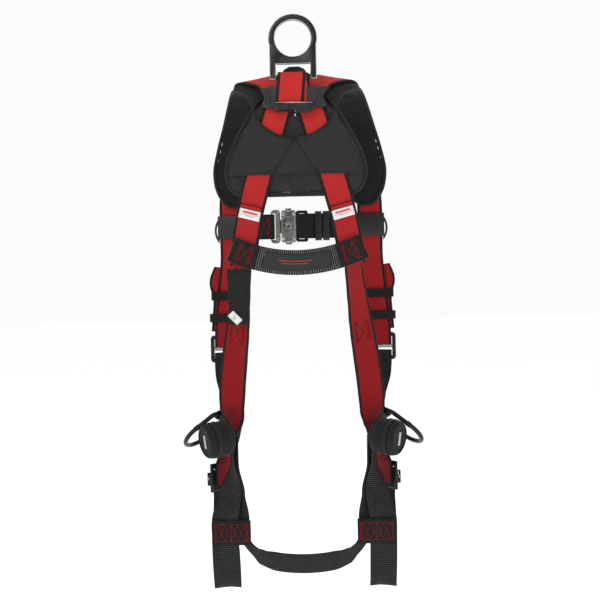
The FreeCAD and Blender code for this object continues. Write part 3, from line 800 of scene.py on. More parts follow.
def inflated(mesh, name, material, voxel=4.0, travel=3.0):
    # fill a pad: even it out, let cloth swell under pressure, hold how far it may go
    thing = addObject(name + "Work", mesh)
    remesh = thing.modifiers.new("even", "REMESH")
    remesh.mode = "VOXEL"
    remesh.voxel_size = voxel * mm
    even = evaluatedMesh(thing)
    thing.modifiers.clear()
    thing.data = even
    rest = [v.co.copy() for v in even.vertices]
    cloth = thing.modifiers.new("fill", "CLOTH")
    cloth.settings.use_pressure = True
    cloth.settings.uniform_pressure_force = filling["pressure"]
    cloth.settings.effector_weights.gravity = 0
    cloth.settings.tension_stiffness = filling["stretch"]
    cloth.settings.compression_stiffness = filling["stretch"]
    cloth.settings.bending_stiffness = filling["bend"]
    cloth.point_cache.frame_start = 1
    cloth.point_cache.frame_end = filling["frames"]
    for number in range(1, filling["frames"] + 1):
        scene.frame_set(number)
    swollen = evaluatedMesh(thing)
    moved = [v.co.copy() for v in swollen.vertices]
    thing.modifiers.clear()
    scene.frame_set(1)
    for vertex, start, end in zip(thing.data.vertices, rest, moved):
        step = end - start
        if step.length > travel * mm:
            step *= travel * mm / step.length
        vertex.co = start + step
    smooth = thing.modifiers.new("soften", "SMOOTH")
    smooth.factor = 0.5
    smooth.iterations = 2
    finer = thing.modifiers.new("finer", "SUBSURF")
    finer.levels = finer.render_levels = 1
    final = evaluatedMesh(thing)
    final.name = name
    final.materials.clear()
    final.materials.append(material)
    final.polygons.foreach_set("use_smooth", [True] * len(final.polygons))
    bpy.data.objects.remove(thing)
    return final


def backPadGrid():
    outline = smoothPath([(half, 0, z) for z, half in backPad["rows"]], backPad["rowStep"])
    grid = []
    for edge, unused in outline:
        row = []
        for c in range(backPad["columns"] + 1):
            x = edge.x * (2 * c / backPad["columns"] - 1)
            row.append(Vector((x, padY(x, edge.z) + backPad["thick"] / 2, edge.z)))
        grid.append(row)
    return grid


backGrid = backPadGrid()
backShell = padMesh("backPad", backGrid, backPad["thick"] - 2.5, padCloth, backPad["rim"],
                    backPad["shoulder"])
backPiece = place("backPad", inflated(backShell, "backPad", padCloth, travel=2.2), "root", "pad_mesh",
                  ["back_pad"])
print("back pad filled")

backBinding = {"radius": 3.7, "stitchLift": 3.1, "stitchIn": 2.4}
backBorder = borderOf(backGrid)
backBindingMesh = tubeMesh("backPadBinding", backBorder, bindingTape, backBinding["radius"], closed=True)
place("backPadBinding", backBindingMesh, "root", "pad_mesh")
backMiddle = sum(backBorder, Vector()) / len(backBorder)


def towards(points, middle, amount, lift):
    # a loop drawn in towards its middle and lifted off the cloth
    made = []
    for p in points:
        inward = middle - p
        inward.y = 0
        made.append(p + inward.normalized() * amount + Vector(lift))
    return made


bindingLine = towards(backBorder, backMiddle, backBinding["stitchIn"], (0, -backBinding["stitchLift"], 0))
bindingLoop = bindingLine + bindingLine[:1]
bindingStitches = stitchMesh("backPadBindingStitches", [bindingLoop], greyThread, 1.9, 1.9, 0.33)
place("backPadBindingStitches", bindingStitches, "root", "pad_mesh")

padCover = {"bottom": -217.0, "half": 106.0, "thick": 1.6, "lift": 4.3, "scoopR": 72.2, "scoopZ": -85.8,
            "scoopHalf": 66.0, "cornerZ": -115.0, "fall": 92.0, "columns": 90, "rows": 34,
            "seamTop": -160.0, "seamFoot": (35.0, -216.0), "groove": 1.5, "rimDrop": 8.5}


def coverY(x, z, lift):
    # the cover follows the pad's face, lifted off it, and falls away with the pad's round edge
    middle = Vector((x, padY(x, z) + backPad["thick"] / 2, z))
    drop = 1 - rimFactor(middle, backBorder, backPad["rim"], backPad["shoulder"])
    return padY(x, z) - lift + padCover["rimDrop"] * drop


def coverTop(x):
    d = padCover
    if abs(x) <= d["scoopHalf"]:
        return d["scoopZ"] - math.sqrt(d["scoopR"] ** 2 - x ** 2)
    return d["cornerZ"] - d["fall"] * (abs(x) - d["scoopHalf"]) / (d["half"] - d["scoopHalf"])


def toSeam(x, z):
    # distance in the flat to the inverted V seam
    foot = Vector(padCover["seamFoot"])
    top = Vector((0, padCover["seamTop"]))
    run = foot - top
    p = Vector((abs(x), z)) - top
    share = min(max(p.dot(run) / run.length_squared, 0), 1)
    return (p - run * share).length


def coverMesh():
    d = padCover
    grid = []
    for c in range(d["columns"] + 1):
        x = d["half"] * (2 * c / d["columns"] - 1)
        top = coverTop(x)
        column = []
        for r in range(d["rows"] + 1):
            z = d["bottom"] + (top - d["bottom"]) * r / d["rows"]
            y = coverY(x, z, d["lift"])
            y += d["groove"] * math.exp(-(toSeam(x, z) / 1.6) ** 2)
            y += 0.5 * math.sin(x / 17 + z / 23) * math.sin(z / 11)
            column.append(Vector((x, y, z)))
        grid.append(column)
    flatArea = 0.0
    for c in range(d["columns"]):
        for r in range(d["rows"]):
            a, b = grid[c][r], grid[c + 1][r]
            e, f = grid[c + 1][r + 1], grid[c][r + 1]
            flatArea += ((b - a).cross(f - a).length + (f - e).cross(b - e).length) / 2
    mesh = padMesh("backPadCover", grid, d["thick"], coverCloth, rim=0.7, shoulder=1.5)
    return mesh, flatArea


coverShape, coverArea = coverMesh()
coverPiece = place("backPadCover", coverShape, "root", "cover_fabric", ["back_pad_cover"])

footX, footZ = padCover["seamFoot"]
coverSeams = []
for sign in (-1, 1):
    for shift in (0, 2.6):
        line = []
        for k in range(15):
            x = sign * (footX * k / 14 + shift)
            z = padCover["seamTop"] + (footZ - padCover["seamTop"]) * k / 14
            line.append((x, padY(x, z) - 5.7 + padCover["groove"] * (0.55 if shift else 1), z))
        coverSeams.append(line)


def coverEdge(offset):
    # a line just inside the cover's top edge
    line = []
    for k in range(61):
        x = 64 * (2 * k / 60 - 1)
        z = coverTop(x) - offset
        line.append(Vector((x, coverY(x, z, 5.2), z)))
    return line


bottomLine = []
for k in range(61):
    x = 100 * (2 * k / 60 - 1)
    bottomLine.append(Vector((x, coverY(x, -214, 5.3), -214)))
coverLines = coverSeams + [coverEdge(3.0), bottomLine]
coverThreads = stitchMesh("coverStitches", coverLines, blackThread, 2.4, 0.8, 0.4)
place("coverStitches", coverThreads, "root", "cover_fabric")
place("coverHem", tubeMesh("coverHem", coverEdge(0.3), bindingTape, 1.3), "root", "cover_fabric")

neckPad = {"rows": [(-83, 27, 38, 15), (-72, 33, 43, 18), (-60, 39, 48, 23), (-48, 43, 51, 22),
                    (-40, 46, 53, 16), (-36, 48, 53, 8)], "columns": 14}
neckGrid = []
neckPath = smoothPath([(half, (rear + front) / 2, z) for z, rear, front, half in neckPad["rows"]], 3.5)
for edge, unused in neckPath:
    neckGrid.append([Vector((edge.x * (2 * c / neckPad["columns"] - 1), edge.y, edge.z))
                     for c in range(neckPad["columns"] + 1)])
neckShell = padMesh("neckPad", neckGrid, 8.0, frontPadCloth, rim=0.55, shoulder=8.0)
neckPiece = place("neckPad", inflated(neckShell, "neckPad", bindingTape, voxel=3.0, travel=1.5), "root",
                  "pad_mesh", ["neck_pad"])


# shoulder pads, over the crest and down the front

shoulderPad = {
    "edges": [((22, 17, -103), (64, 15.5, -113)), ((21, 26, -86), (69, 24, -98)),
              ((28, 39, -73), (77, 42, -84)), ((46, 63, -62), (90, 68, -73)),
              ((54, 94, -58), (103, 100, -66)), ((60, 132, -61), (111, 140, -67)),
              ((66, 170, -77), (120, 178, -83)), ((72, 203, -105), (131, 208, -113)),
              ((77, 223, -146), (143, 223, -151)), ((81, 231, -190), (151, 230, -190)),
              ((90, 233, -226), (146, 232, -223)), ((100, 234, -245), (133, 233, -244)),
              ((108, 234, -250), (126, 233, -249))],
    "thick": 10.0, "columns": 16, "rowStep": 5.0}


def shoulderGrid():
    d = shoulderPad
    inner, outer = ([Vector(pair[way]) for pair in d["edges"]] for way in (0, 1))
    grid = []
    for i in range(len(d["edges"]) - 1):
        count = max(1, round((inner[i + 1] - inner[i]).length / d["rowStep"]))
        for k in range(count + (i == len(d["edges"]) - 2)):
            left, right = curvePoint(inner, i, k / count), curvePoint(outer, i, k / count)
            grid.append([left.lerp(right, c / d["columns"]) for c in range(d["columns"] + 1)])
    return grid


shoulderRows = shoulderGrid()
shoulderShell = padMesh("shoulderPad", shoulderRows, shoulderPad["thick"] - 2.0, frontPadCloth, 0.45, 12.0)
shoulderMesh = inflated(shoulderShell, "shoulderPad", frontPadCloth, travel=2.0)
for piece in placePair("shoulderPad", shoulderMesh, "pad_mesh", (["shoulder_pad_R"], ["shoulder_pad_L"])):
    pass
shoulderBorder = borderOf(shoulderRows)
bindingMesh = tubeMesh("shoulderPadBinding", shoulderBorder, bindingTape, 3.2, closed=True)
placePair("shoulderPadBinding", bindingMesh, "pad_mesh")


# the cloth sleeve over each pad's crest, which hides the strap from its slanting rear hem to the chest

padSleeve = {"startInner": 8.5, "startOuter": 1.0, "endY": 206.0, "rows": 46, "columns": 16, "clear": 5.2,
             "rise": 4.4, "thick": 1.4, "bodyMiddle": (80, 110, -160)}


def sleeveGrid():
    d = padSleeve
    last = next(i for i, row in enumerate(shoulderRows) if row[0].y > d["endY"])
    grid = []
    for k in range(d["rows"] + 1):
        row = []
        for c in range(d["columns"] + 1):
            start = d["startInner"] + (d["startOuter"] - d["startInner"]) * (c / d["columns"]) ** 0.7
            at = start + (last - start) * k / d["rows"]
            i = min(int(at), len(shoulderRows) - 2)
            column = c * shoulderPad["columns"] // d["columns"]
            p = shoulderRows[i][column].lerp(shoulderRows[i + 1][column], at - i)
            normal = gridNormal(shoulderRows, i, column)
            if normal.dot(p - Vector(d["bodyMiddle"])) < 0:
                normal = -normal
            share = 2 * c / d["columns"] - 1
            row.append(p + normal * (d["clear"] * (1 - 0.55 * share ** 6) + d["rise"] * (1 - share ** 4)))
        grid.append(row)
    return grid


sleeveRows = sleeveGrid()
sleeveMesh = padMesh("shoulderSleeve", sleeveRows, padSleeve["thick"], frontPadCloth, 0.8, 2.0)
placePair("shoulderSleeve", sleeveMesh, "cover_fabric", (["shoulder_sleeves"], ["shoulder_sleeves"]))
sleeveHem = tubeMesh("sleeveHem", sleeveRows[0], bindingTape, 1.6)
placePair("sleeveHem", sleeveHem, "cover_fabric")
print("shoulder pads filled")


# rear straps, their folded indicators and white labels

rearStrap = {"spots": [((24, -104), 5.6), ((31.5, -128), 4.7), ((38, -150), None), ((59, -218), None),
                       ((67, -247), None), ((75, -279), 11), ((81, -310), 15.5), ((86, -342), 19.5),
                       ((88, -362), 21.5)],
             "labelTilt": 14.7}


def rearRows():
    spots = rearStrap["spots"]
    stations = []
    for i, ((x, z), y) in enumerate(spots):
        before, after = spots[max(i - 1, 0)][0], spots[min(i + 1, len(spots) - 1)][0]
        lean = math.atan2(after[0] - before[0], before[1] - after[1])
        wrap = 0.02 if i < 2 else 2 * backPad["wrap"] * x / backPad["half"] ** 2 if i < 5 else 0.2
        depth = padY(x, z) - 1.9 if y is None else y
        stations.append(((x, depth, z), (math.cos(lean), wrap, math.sin(lean))))
    return rowsThrough(stations)


rearPath = rearRows()
placePair("rearStrap", ribbonMesh("rearStrap", rearPath, redWebbing, cup=-0.6), "red_webbing",
          (["rear_strap_R"], ["rear_strap_L"]))

# the fold: a short doubled flap sewn under a black bar of stitching, with the label below it
foldZ = -262.0
foldAlong = next(row[3] for row in rearPath if row[0].z < foldZ)
flapRows = [(row[0] + row[2] * -2.6, row[1], row[2], row[3]) for row in rearPath
            if foldAlong - 1 < row[3] < foldAlong + 9]
flapMesh = ribbonMesh("flap", flapRows, redWebbing, 37.0, 1.6, cup=-0.5, selvedge=False)
placePair("strapFold", flapMesh, "red_webbing")
barLines = [[onStrap(rearPath, across, foldAlong + shift, -3.7) for across in range(-19, 20, 2)]
            for shift in (0, 1.6)]
sewPair("foldStitches", "red_webbing", barLines, blackThread, 2.2, 0.5, 0.55)

tilt = math.radians(rearStrap["labelTilt"])
labelSide = (math.cos(tilt), 0.18, math.sin(tilt))
labelInk = printed("redOnWhiteLabel", paint(240, 238, 236), paint(196, 60, 62),
                   [(3.4, 6.4, -13, 12), (8.0, 8.7, -15, 15), (10.2, 10.9, -8, 8)])
labelRows = rowsThrough([((73.4, 6.9, -272), labelSide), ((77.2, 8.6, -287), labelSide)], 2.0)
labelMesh = ribbonMesh("impactLabel", labelRows, labelInk, 36, 0.6, selvedge=False)
placePair("impactLabel", labelMesh, "white_label", (["impact_labels"], ["impact_labels"]))


# back band: ribbed webbing with a smooth label and box-stitched ends

backBand = {"midY": 4.5, "midZ": -358.0, "sag": 8.6, "rise": 16.0, "endX": 86.0, "reach": 107.0,
            "height": 40.0, "thick": 2.4, "rib": 3.4, "ribHeight": 1.0, "labelHalf": 54.0,
            "labelHeight": 27.0, "slant": 5.0}


def bandPoint(x, lift=0.0):
    d = backBand
    share = (x / d["endX"]) ** 2
    return Vector((x, d["midY"] + d["sag"] * share - lift, d["midZ"] + d["rise"] * share))


def bandRows(x0, x1, step, lift=0.0):
    count = round((x1 - x0) / step)
    spots = [bandPoint(x0 + (x1 - x0) * k / count, lift) for k in range(count + 1)]
    return rowsThrough([(spot, (0, 0, 1)) for spot in spots], step)


bandPath = bandRows(-backBand["reach"], backBand["reach"], backBand["rib"] / 5)
bandMesh = ribbonMesh("backBand", bandPath, bandWeb, backBand["height"], backBand["thick"],
                      rib=(backBand["rib"], backBand["ribHeight"] / 2), selvedge=False)
place("backBand", bandMesh, "root", "ribbed_webbing", ["back_band"])

bandInk = printed("bandLabelCloth", paint(25, 25, 26), paint(214, 40, 44),
                  [(24, 78, 1.6, 2.4), (30, 72, -2.6, -1.8)])
labelPath = bandRows(-backBand["labelHalf"], backBand["labelHalf"], 3.0, 2.6)
bandLabel = ribbonMesh("bandLabel", labelPath, bandInk, backBand["labelHeight"], 1.0, selvedge=False)
for vertex in bandLabel.vertices:
    # both ends slope the same way, like a parallelogram
    lean = (vertex.co.z / mm - bandPoint(vertex.co.x / mm).z) / backBand["labelHeight"] * backBand["slant"]
    vertex.co.x += lean * mm
place("bandLabel", bandLabel, "root", "black_label", ["back_band_label"])

patchRows = bandRows(65, 106, 3.0, 2.5)
patchMesh = ribbonMesh("bandPatch", patchRows, blackWebbing, 39.5, 1.4, selvedge=False)
placePair("bandPatch", patchMesh, "black_webbing", (["band_patches"], ["band_patches"]))
boxLines = [[Vector((p.y, p.x)) for p in line] for line in boxPattern(12.5, 14.0)]
patchLines = layOn(patchRows, boxLines, patchRows[-1][3] * 0.5 - 1, -1.0)
sewPair("bandBoxStitches", "black_webbing", patchLines, redThread, 2.2, 0.9, 0.5)


# document pouch with its blank face and white pull tag, on the wearer's left

pouchShape = {"top": 36, "foot": 28, "thick": 5,
              "path": [((-95, 13.5, -367), (1, 0, 0)), ((-96, 21, -405), (1, 0, 0)),
                       ((-98, 31, -455), (1, 0, 0))]}
labelPouchRows = rowsThrough(pouchShape["path"], 4.0)
pouchColumns = 14
pouchGrid = []
for centre, side, face, length in labelPouchRows:
    share = length / labelPouchRows[-1][3]
    width = pouchShape["top"] + (pouchShape["foot"] - pouchShape["top"]) * share
    pouchGrid.append([centre + side * (width * (c / pouchColumns - 0.5)) for c in range(pouchColumns + 1)])
labelPouch = padMesh("labelPouch", pouchGrid, pouchShape["thick"], pouchCloth, rim=0.5, shoulder=7.0)
labelPouchPiece = place("labelPouch", inflated(labelPouch, "labelPouch", pouchCloth, voxel=3.0, travel=1.0),
                        "root", "cover_fabric", ["label_pouch"])
pouchBack = padMesh("pouchBack", pouchGrid, 1.6, bindingTape, rim=1.0, shoulder=1.0)
pouchWelt = tubeMesh("pouchWelt", borderOf(pouchGrid), bindingTape, 1.5, closed=True)
place("labelPouchWelt", joined("labelPouchWelt", [pouchBack, pouchWelt]), "root", "cover_fabric")
tagRows = rowsThrough([((-110.5, 20.5, -437), (0.98, 0, 0.2)), ((-96, 24.5, -452.5), (0.98, 0, 0.2))], 2.0)
tagInk = printed("whiteTag", paint(236, 236, 234), paint(120, 120, 120), [(8, 9, -4, 4), (11, 12, -4, 2)])
tagMesh = ribbonMesh("labelTag", tagRows, tagInk, 13, 0.8, selvedge=False)
place("labelTag", tagMesh, "root", "white_label", ["label_tag"])


# tails and elastic keepers at the torso adjusters

torsoTail = {"path": [((140, 226.5, -472), (1, 0, 0)), ((138.5, 230, -448), (1, 0, 0)),
                      ((137, 234, -430), (1, 0, 0)), ((135, 240, -400), (1, 0, 0)),
                      ((135.5, 246, -378), (1, 0, 0)), ((133, 246.5, -358), (1, 0, 0))],
             "bulge": 9.0, "bulgeZ": -385.0}
tailRows = []
for centre, side, face, length in rowsThrough(torsoTail["path"]):
    # the tail bows outward between its keepers and turns a little edge-on
    push = math.exp(-((centre.z - torsoTail["bulgeZ"]) / 22) ** 2)
    centre = centre + Vector((torsoTail["bulge"] * push, 0, 0))
    side = (side + Vector((0, -0.35 * push, 0))).normalized()
    tailRows.append((centre, side, face, length))
placePair("torsoTail", ribbonMesh("torsoTail", tailRows, redWebbing), "red_webbing",
          (["torso_tail_R"], ["torso_tail_L"]))


def sleeveLoop(centre, halfX, halfY, height, thick, material, axis="Z", corner=3.0):
    # an elastic or moulded loop with rounded corners, swept from a flat section
    path = []
    for cx, cy, start in ((halfX - corner, halfY - corner, 0), (-halfX + corner, halfY - corner, 90),
                          (-halfX + corner, -halfY + corner, 180), (halfX - corner, -halfY + corner, 270)):
        for k in range(5):
            t = math.radians(start + 22.5 * k)
            path.append((cx + corner * math.cos(t), cy + corner * math.sin(t)))
    section = [(-0.5, 0.3), (-0.42, 0.5), (0.42, 0.5), (0.5, 0.3), (0.5, -0.3), (0.42, -0.5), (-0.42, -0.5),
               (-0.5, -0.3)]
    points, uvs = [], []
    for k, (a, b) in enumerate(path):
        around = Vector((a, b))
        inward = around - Vector((max(min(a, halfX - corner), -halfX + corner),
                                  max(min(b, halfY - corner), -halfY + corner)))
        inward = inward.normalized() if inward.length > 1e-6 else Vector((0, 1))
        for along, off in section:
            p = around + inward * (off * thick + thick / 2)
            spot = (p.x, p.y, along * height) if axis == "Z" else (along * height, p.y, p.x)
            points.append(Vector(centre) + Vector(spot))
            uvs.append((along * height, k * 2.0))
    mesh = meshOf("loop", points, ringQuads(len(path), len(section), closed=True), material, uvs)
    outward(mesh)
    return mesh


keeperMeshes = [sleeveLoop((x, y, z), 27.6, 6.2, 15, 1.4, elasticTape)
                for x, y, z in ((133.4, 237.4, -408), (136.0, 229.9, -447))]
placePair("torsoKeepers", joined("torsoKeepers", keeperMeshes), "elastic",
          (["torso_keepers"], ["torso_keepers"]))


# lower torso, hip and leg webbing

lowerTorso = [((134, 216, -508), turned(0)), ((132.5, 200, -545), turned(-18)),
              ((123, 163, -588), turned(-42)), ((117.5, 128, -624), turned(-58)),
              ((121, 124, -652), turned(-60)), ((134, 126, -686), turned(-57)),
              ((137, 126.4, -697), turned(-56.6)), ((139.2, 127.5, -715), turned(-56.6)),
              ((139.2, 127.5, -733), turned(-56.6))]
placePair("lowerTorsoStrap", ribbonMesh("lowerTorsoStrap", rowsThrough(lowerTorso), blackWebbing),
          "black_webbing", (["lower_torso_strap_R"], ["lower_torso_strap_L"]))

hipStrap = [((89, 42, -352), turned(50)), ((92, 43, -385), turned(47)), ((96, 46, -420), turned(40)),
            ((100, 50, -454), turned(30)), ((105, 58, -488), turned(20)), ((111, 68, -530), turned(5)),
            ((115, 79, -567), turned(5)), ((117, 89, -600), turned(20)), ((116, 97, -620), turned(52)),
            ((116, 101, -634), turned(74))]
hipRows = rowsThrough(hipStrap)
placePair("hipStrap", ribbonMesh("hipStrap", hipRows, redWebbing, cup=0.4), "red_webbing",
          (["hip_strap_R"], ["hip_strap_L"]))
hipSewn = next(row[3] for row in hipRows if row[0].z < -470)
hipBox = boxPattern(14.0, 17.0)
sewPair("hipBoxStitches", "red_webbing", layOn(hipRows, hipBox, hipSewn, faceBack(2.0)), blackThread, 2.2,
        1.0, 0.42)
hipEnd = next(row[3] for row in hipRows if row[0].z < -596)
hipLines = [zigzag((-12 + s * 3, s * 6.5 - 4), (11 + s * 3, s * 6.5 + 3), 1.8, 2.4) for s in range(4)]
sewPair("hipZigzag", "red_webbing", layOn(hipRows, hipLines, hipEnd, faceBack(2.0)), dullThread, 1.9, 1.2,
        0.36)

legStrap = {"path": [((117, 100, -642), turned(76)), ((118, 92, -683), turned(79)),
                     ((122, 79.5, -740), turned(30)), ((131, 71.5, -781), turned(3)),
                     ((131, 70.5, -806), turned(0)), ((130.5, 72, -843), turned(-4)),
                     ((129.5, 77, -879), turned(-12)), ((129.3, 82, -890), turned(-16)),
                     ((129.3, 88, -893), turned(-18)), ((129.3, 94, -889), turned(-20)),
                     ((129.5, 99, -878), turned(-22)), ((131, 107, -843), turned(-26)),
                     ((135, 118, -798), turned(-36)), ((140, 127, -744), turned(-56)),
                     ((141, 128.7, -730), turned(-56.6)), ((141, 128.7, -702), turned(-56.6))],
            "rib": 3.2, "ribHeight": 0.35}
sling = {"path": [((113.6, 93, -645), turned(74)), ((111, 87.5, -690), turned(78)),
                  ((109.5, 84, -738), turned(55)), ((111.5, 79.5, -778), turned(18)),
                  ((108, 86, -806), (0.72, 0.69, -0.05)), ((94, 91, -825), (0.45, 0.88, -0.12)),
                  ((84, 91, -836), (0.3, 0.88, -0.37)), ((70.5, 88, -846), (0.2, 0.72, -0.665)),
                  ((47.5, 85, -852.5), (0.11, 0.58, -0.8)), ((25, 84, -855.5), (0.05, 0.57, -0.82)),
                  ((0, 83.5, -856.5), (0, 0.566, -0.824))]}
legTab = [((126.9, 124.0, -672), turned(-58)), ((133.1, 123.6, -686), turned(-57)),
          ((135.3, 124.8, -700), turned(-56.6)), ((135.7, 125.1, -728), turned(-56.6))]
legTabRows = rowsThrough(legTab)
placePair("legTab", ribbonMesh("legTab", legTabRows, redWebbing, cup=-0.3), "red_webbing",
          (["leg_tab_R"], ["leg_tab_L"]))
tabLines = [zigzag((-17, 8 + s * 4), (17, 8 + s * 4), 1.6, 2.0) for s in range(3)]
sewPair("legTabStitches", "red_webbing", layOn(legTabRows, tabLines, 4, faceBack(2.0)), blackThread, 2.0,
        0.7, 0.5)
legRows = rowsThrough(legStrap["path"], legStrap["rib"] / 4)
legMesh = ribbonMesh("legStrap", legRows, legWeb, thick=1.8, rib=(legStrap["rib"], legStrap["ribHeight"]),
                     selvedge=False)
placePair("legStrap", legMesh, "ribbed_webbing", (["leg_strap_R"], ["leg_strap_L"]))
slingLeft = [((-x, y, z), (-Vector(side).x, Vector(side).y, Vector(side).z))
             for (x, y, z), side in reversed(sling["path"][:-1])]
slingRows = rowsThrough(sling["path"] + slingLeft, legStrap["rib"] / 4)
slingMesh = ribbonMesh("subPelvicStrap", slingRows, chevronWeb, thick=1.8,
                       rib=(legStrap["rib"], legStrap["ribHeight"]), selvedge=False)
place("subPelvicStrap", slingMesh, "root", "ribbed_webbing", ["sub_pelvic_strap"])

legPatch = {"x": (88, 152.5), "y": 66.2, "z": (-821, -780)}
patchMid = sum(legPatch["x"]) / 2
patchPath = rowsThrough([((patchMid, legPatch["y"] + 0.3, legPatch["z"][1]), (1, 0, 0)),
                         ((patchMid, legPatch["y"] - 0.2, -800.5), (1, 0, 0)),
                         ((patchMid, legPatch["y"] + 0.3, legPatch["z"][0]), (1, 0, 0))])
legPatchMesh = ribbonMesh("legPatch", patchPath, blackWebbing, legPatch["x"][1] - legPatch["x"][0], 1.8,
                          cup=0.6, selvedge=False)
placePair("legPatch", legPatchMesh, "black_webbing", (["leg_patches"], ["leg_patches"]))
legLines = [[Vector((x, -14)), Vector((x, 14))] for x in (27.0, 24.5)]
legLines += [[Vector((-24, y)), Vector((24, y))] for y in (-14, 14)]
legLines += [zigzag((-27, -14), (-27, 14), 1.6, 1.5), zigzag((-24.8, -14), (-24.8, 14), 1.4, 1.6)]
for shift in (0, 1):
    legLines.append([Vector((-22 + 11 * k, 13 if (k + shift) % 2 else -13)) for k in range(5)])
legLines.append([Vector((0, -13)), Vector((0, 13))])
legStitches = layOn(patchPath, legLines, patchPath[-1][3] / 2, -1.3)
sewPair("legBoxStitches", "black_webbing", legStitches, redThread, 2.0, 1.2, 0.48)
legZig = zigzag((-6, 0), (-6, 70), 2.0, 2.2)
slingLift = -(1.8 / 2 + 0.5)
sewn = layOn(slingRows, [legZig], 12, slingLift)
sewPair("webZigzag", "ribbed_webbing", sewn, greyThread, 1.9, 0.8, 0.4)
redBar = [zigzag((3 + s * 4.5, 18), (3 + s * 4.5, 44), 1.6, 2.0) for s in range(2)]
sewPair("webRedTack", "ribbed_webbing", layOn(slingRows, redBar, 12, slingLift), redThread, 1.9, 0.8, 0.42)


# rivets and other small heads: one tree puts a domed head on every point it is given

def headTree():
    tree = bpy.data.node_groups.new("domedHeads", "GeometryNodeTree")
    sockets = tree.interface
    sockets.new_socket("Spots", in_out="INPUT", socket_type="NodeSocketGeometry")
    for label, value in (("Head radius", 0.0034), ("Dome", 0.0012)):
        sockets.new_socket(label, in_out="INPUT", socket_type="NodeSocketFloat").default_value = value
    sockets.new_socket("Axis", in_out="INPUT", socket_type="NodeSocketVector").default_value = (0, 1, 0)
    sockets.new_socket("Metal", in_out="INPUT", socket_type="NodeSocketMaterial")
    sockets.new_socket("Heads", in_out="OUTPUT", socket_type="NodeSocketGeometry")
    given = addNode(tree, "NodeGroupInput").outputs
    spots = addNode(tree, "GeometryNodeMeshToPoints", {"Mesh": given["Spots"]}).outputs[0]
    dome = addNode(tree, "GeometryNodeMeshUVSphere", {"Segments": 16, "Rings": 8, "Radius": 1.0}).outputs[0]
    turn = addNode(tree, "FunctionNodeAlignRotationToVector", {"Vector": given["Axis"]}, axis="Z").outputs[0]
    radius = given["Head radius"]
    size = addNode(tree, "ShaderNodeCombineXYZ", {0: radius, 1: radius, 2: given["Dome"]}).outputs[0]
    copies = addNode(tree, "GeometryNodeInstanceOnPoints",
                     {"Points": spots, "Instance": dome, "Rotation": turn, "Scale": size}).outputs[0]
    real = addNode(tree, "GeometryNodeRealizeInstances", {0: copies}).outputs[0]
    finished = addNode(tree, "GeometryNodeSetMaterial", {"Geometry": real, "Material": given["Metal"]})
    tree.links.new(finished.outputs[0], addNode(tree, "NodeGroupOutput").inputs[0])
    return tree


headGroup = headTree()


def headMesh(name, spots, metal, radius, dome, axis=(0, 1, 0)):
    mesh = bpy.data.meshes.new(name)
    mesh.from_pydata([Vector(p) * mm for p in spots], [], [])
    wanted = {"Head radius": radius * mm, "Dome": dome * mm, "Axis": axis, "Metal": metal}
    return grown(name, mesh, headGroup, wanted)


def outlineMesh(name, outline, y0, y1, material, width=0.8, segments=3):
    # a flat plate cut to an outline in X and Z, with rounded edges
    count = len(outline)
    points = [(x, y, z) for y in (y0, y1) for x, z in outline]
    faces = [tuple(range(count)), tuple(reversed(range(count, 2 * count)))]
    faces += [(i, (i + 1) % count, (i + 1) % count + count, i + count) for i in range(count)]
    mesh = meshOf(name, points, faces, material)
    outward(mesh)
    return roundedEdges(name, mesh, width, segments, sharpAngle["cutPlate"])


# dorsal ring: dark plated face, with a painted highlight on its rounded edges

# bright steel: a painted highlight where it covers rounded edges and the lip's top edge, and the metal of
# small bright parts
brightEdge = steel("brightSteelAndEdgeHighlight", paint(226, 226, 222), paint(150, 150, 148), rough=0.2)
refined("dorsal_d_ring", "dorsalRing", nickelSteel, "plated_steel", 1.0, 3, edgeHighlightMaterial=brightEdge,
        clamped=False)

dorsalPlate = {
    "ear": [(20, -77), (38, -76.5), (43, -78.5), (51, -77.5), (52.5, -80), (50.5, -84), (48.2, -89),
            (47.6, -93), (48.2, -98), (50.5, -103), (52.3, -107), (51, -110.5), (44, -111.6), (36, -110.4),
            (20, -112)],
    "slot": [(38.5, -84), (42.5, -84.5), (44, -88), (43.4, -93), (44, -98), (42.5, -103), (38.5, -104)],
    "lip": [(-31, -102.5), (31, -104), (34, -108), (26.5, -119), (24, -120.5), (5, -121.2), (2.5, -119),
            (1.5, -115.2), (-2, -114.2), (-20, -115.6), (-24, -114), (-34, -107)]}
base = outlineMesh("plateBase", [(-24, -72), (24, -72), (24, -117), (-24, -117)], -3.4, 3.2, blackPlastic)
ears = []
for way in (1, -1):
    outline = [(way * x, z) for x, z in dorsalPlate["ear"]]
    ears.append(outlineMesh("plateEar", outline, -6.5, 2.5, blackPlastic, width=2.2, segments=4))
    contour = [(way * x, -6.6, z) for x, z in dorsalPlate["slot"]]
    closedContour = [p for p, at in smoothPath(contour + contour[:1], 2.0)][:-1]
    ears.append(tubeMesh("plateSlot", closedContour, blackPlastic, 1.1, closed=True, sides=8))
    post = [(way * 23, -103), (way * 33, -103), (way * 32, -116), (way * 23, -118)]
    ears.append(outlineMesh("platePost", post, -12.6, -1, blackPlastic))
lip = outlineMesh("plateLip", dorsalPlate["lip"], -13.4, -9.6, glossPlastic, width=1.0)
lipEdge = [(x, -12.6, z + 0.7) for x, z in dorsalPlate["lip"][3:11]]
# painted highlight: a thin bright tube along the top edge of the lip
lipTopHighlight = [(-29.5, -13.1, -103.4), (29.5, -13.1, -104.9)]
edges = [tubeMesh("lipEdge", lipEdge, springSteel, 0.55, sides=8),
         tubeMesh("lipTopHighlight", lipTopHighlight, brightEdge, 0.6, sides=8)]
pin = tubeMesh("lipPin", [(1.8, -8.2, -119), (1.8, -8.2, -125.5)], brightEdge, 1.2)
place("dorsalPlate", joined("dorsalPlate", [base, lip, pin] + ears + edges), "root", "black_plastic",
      ["dorsal_plate"])


# chest strap hardware

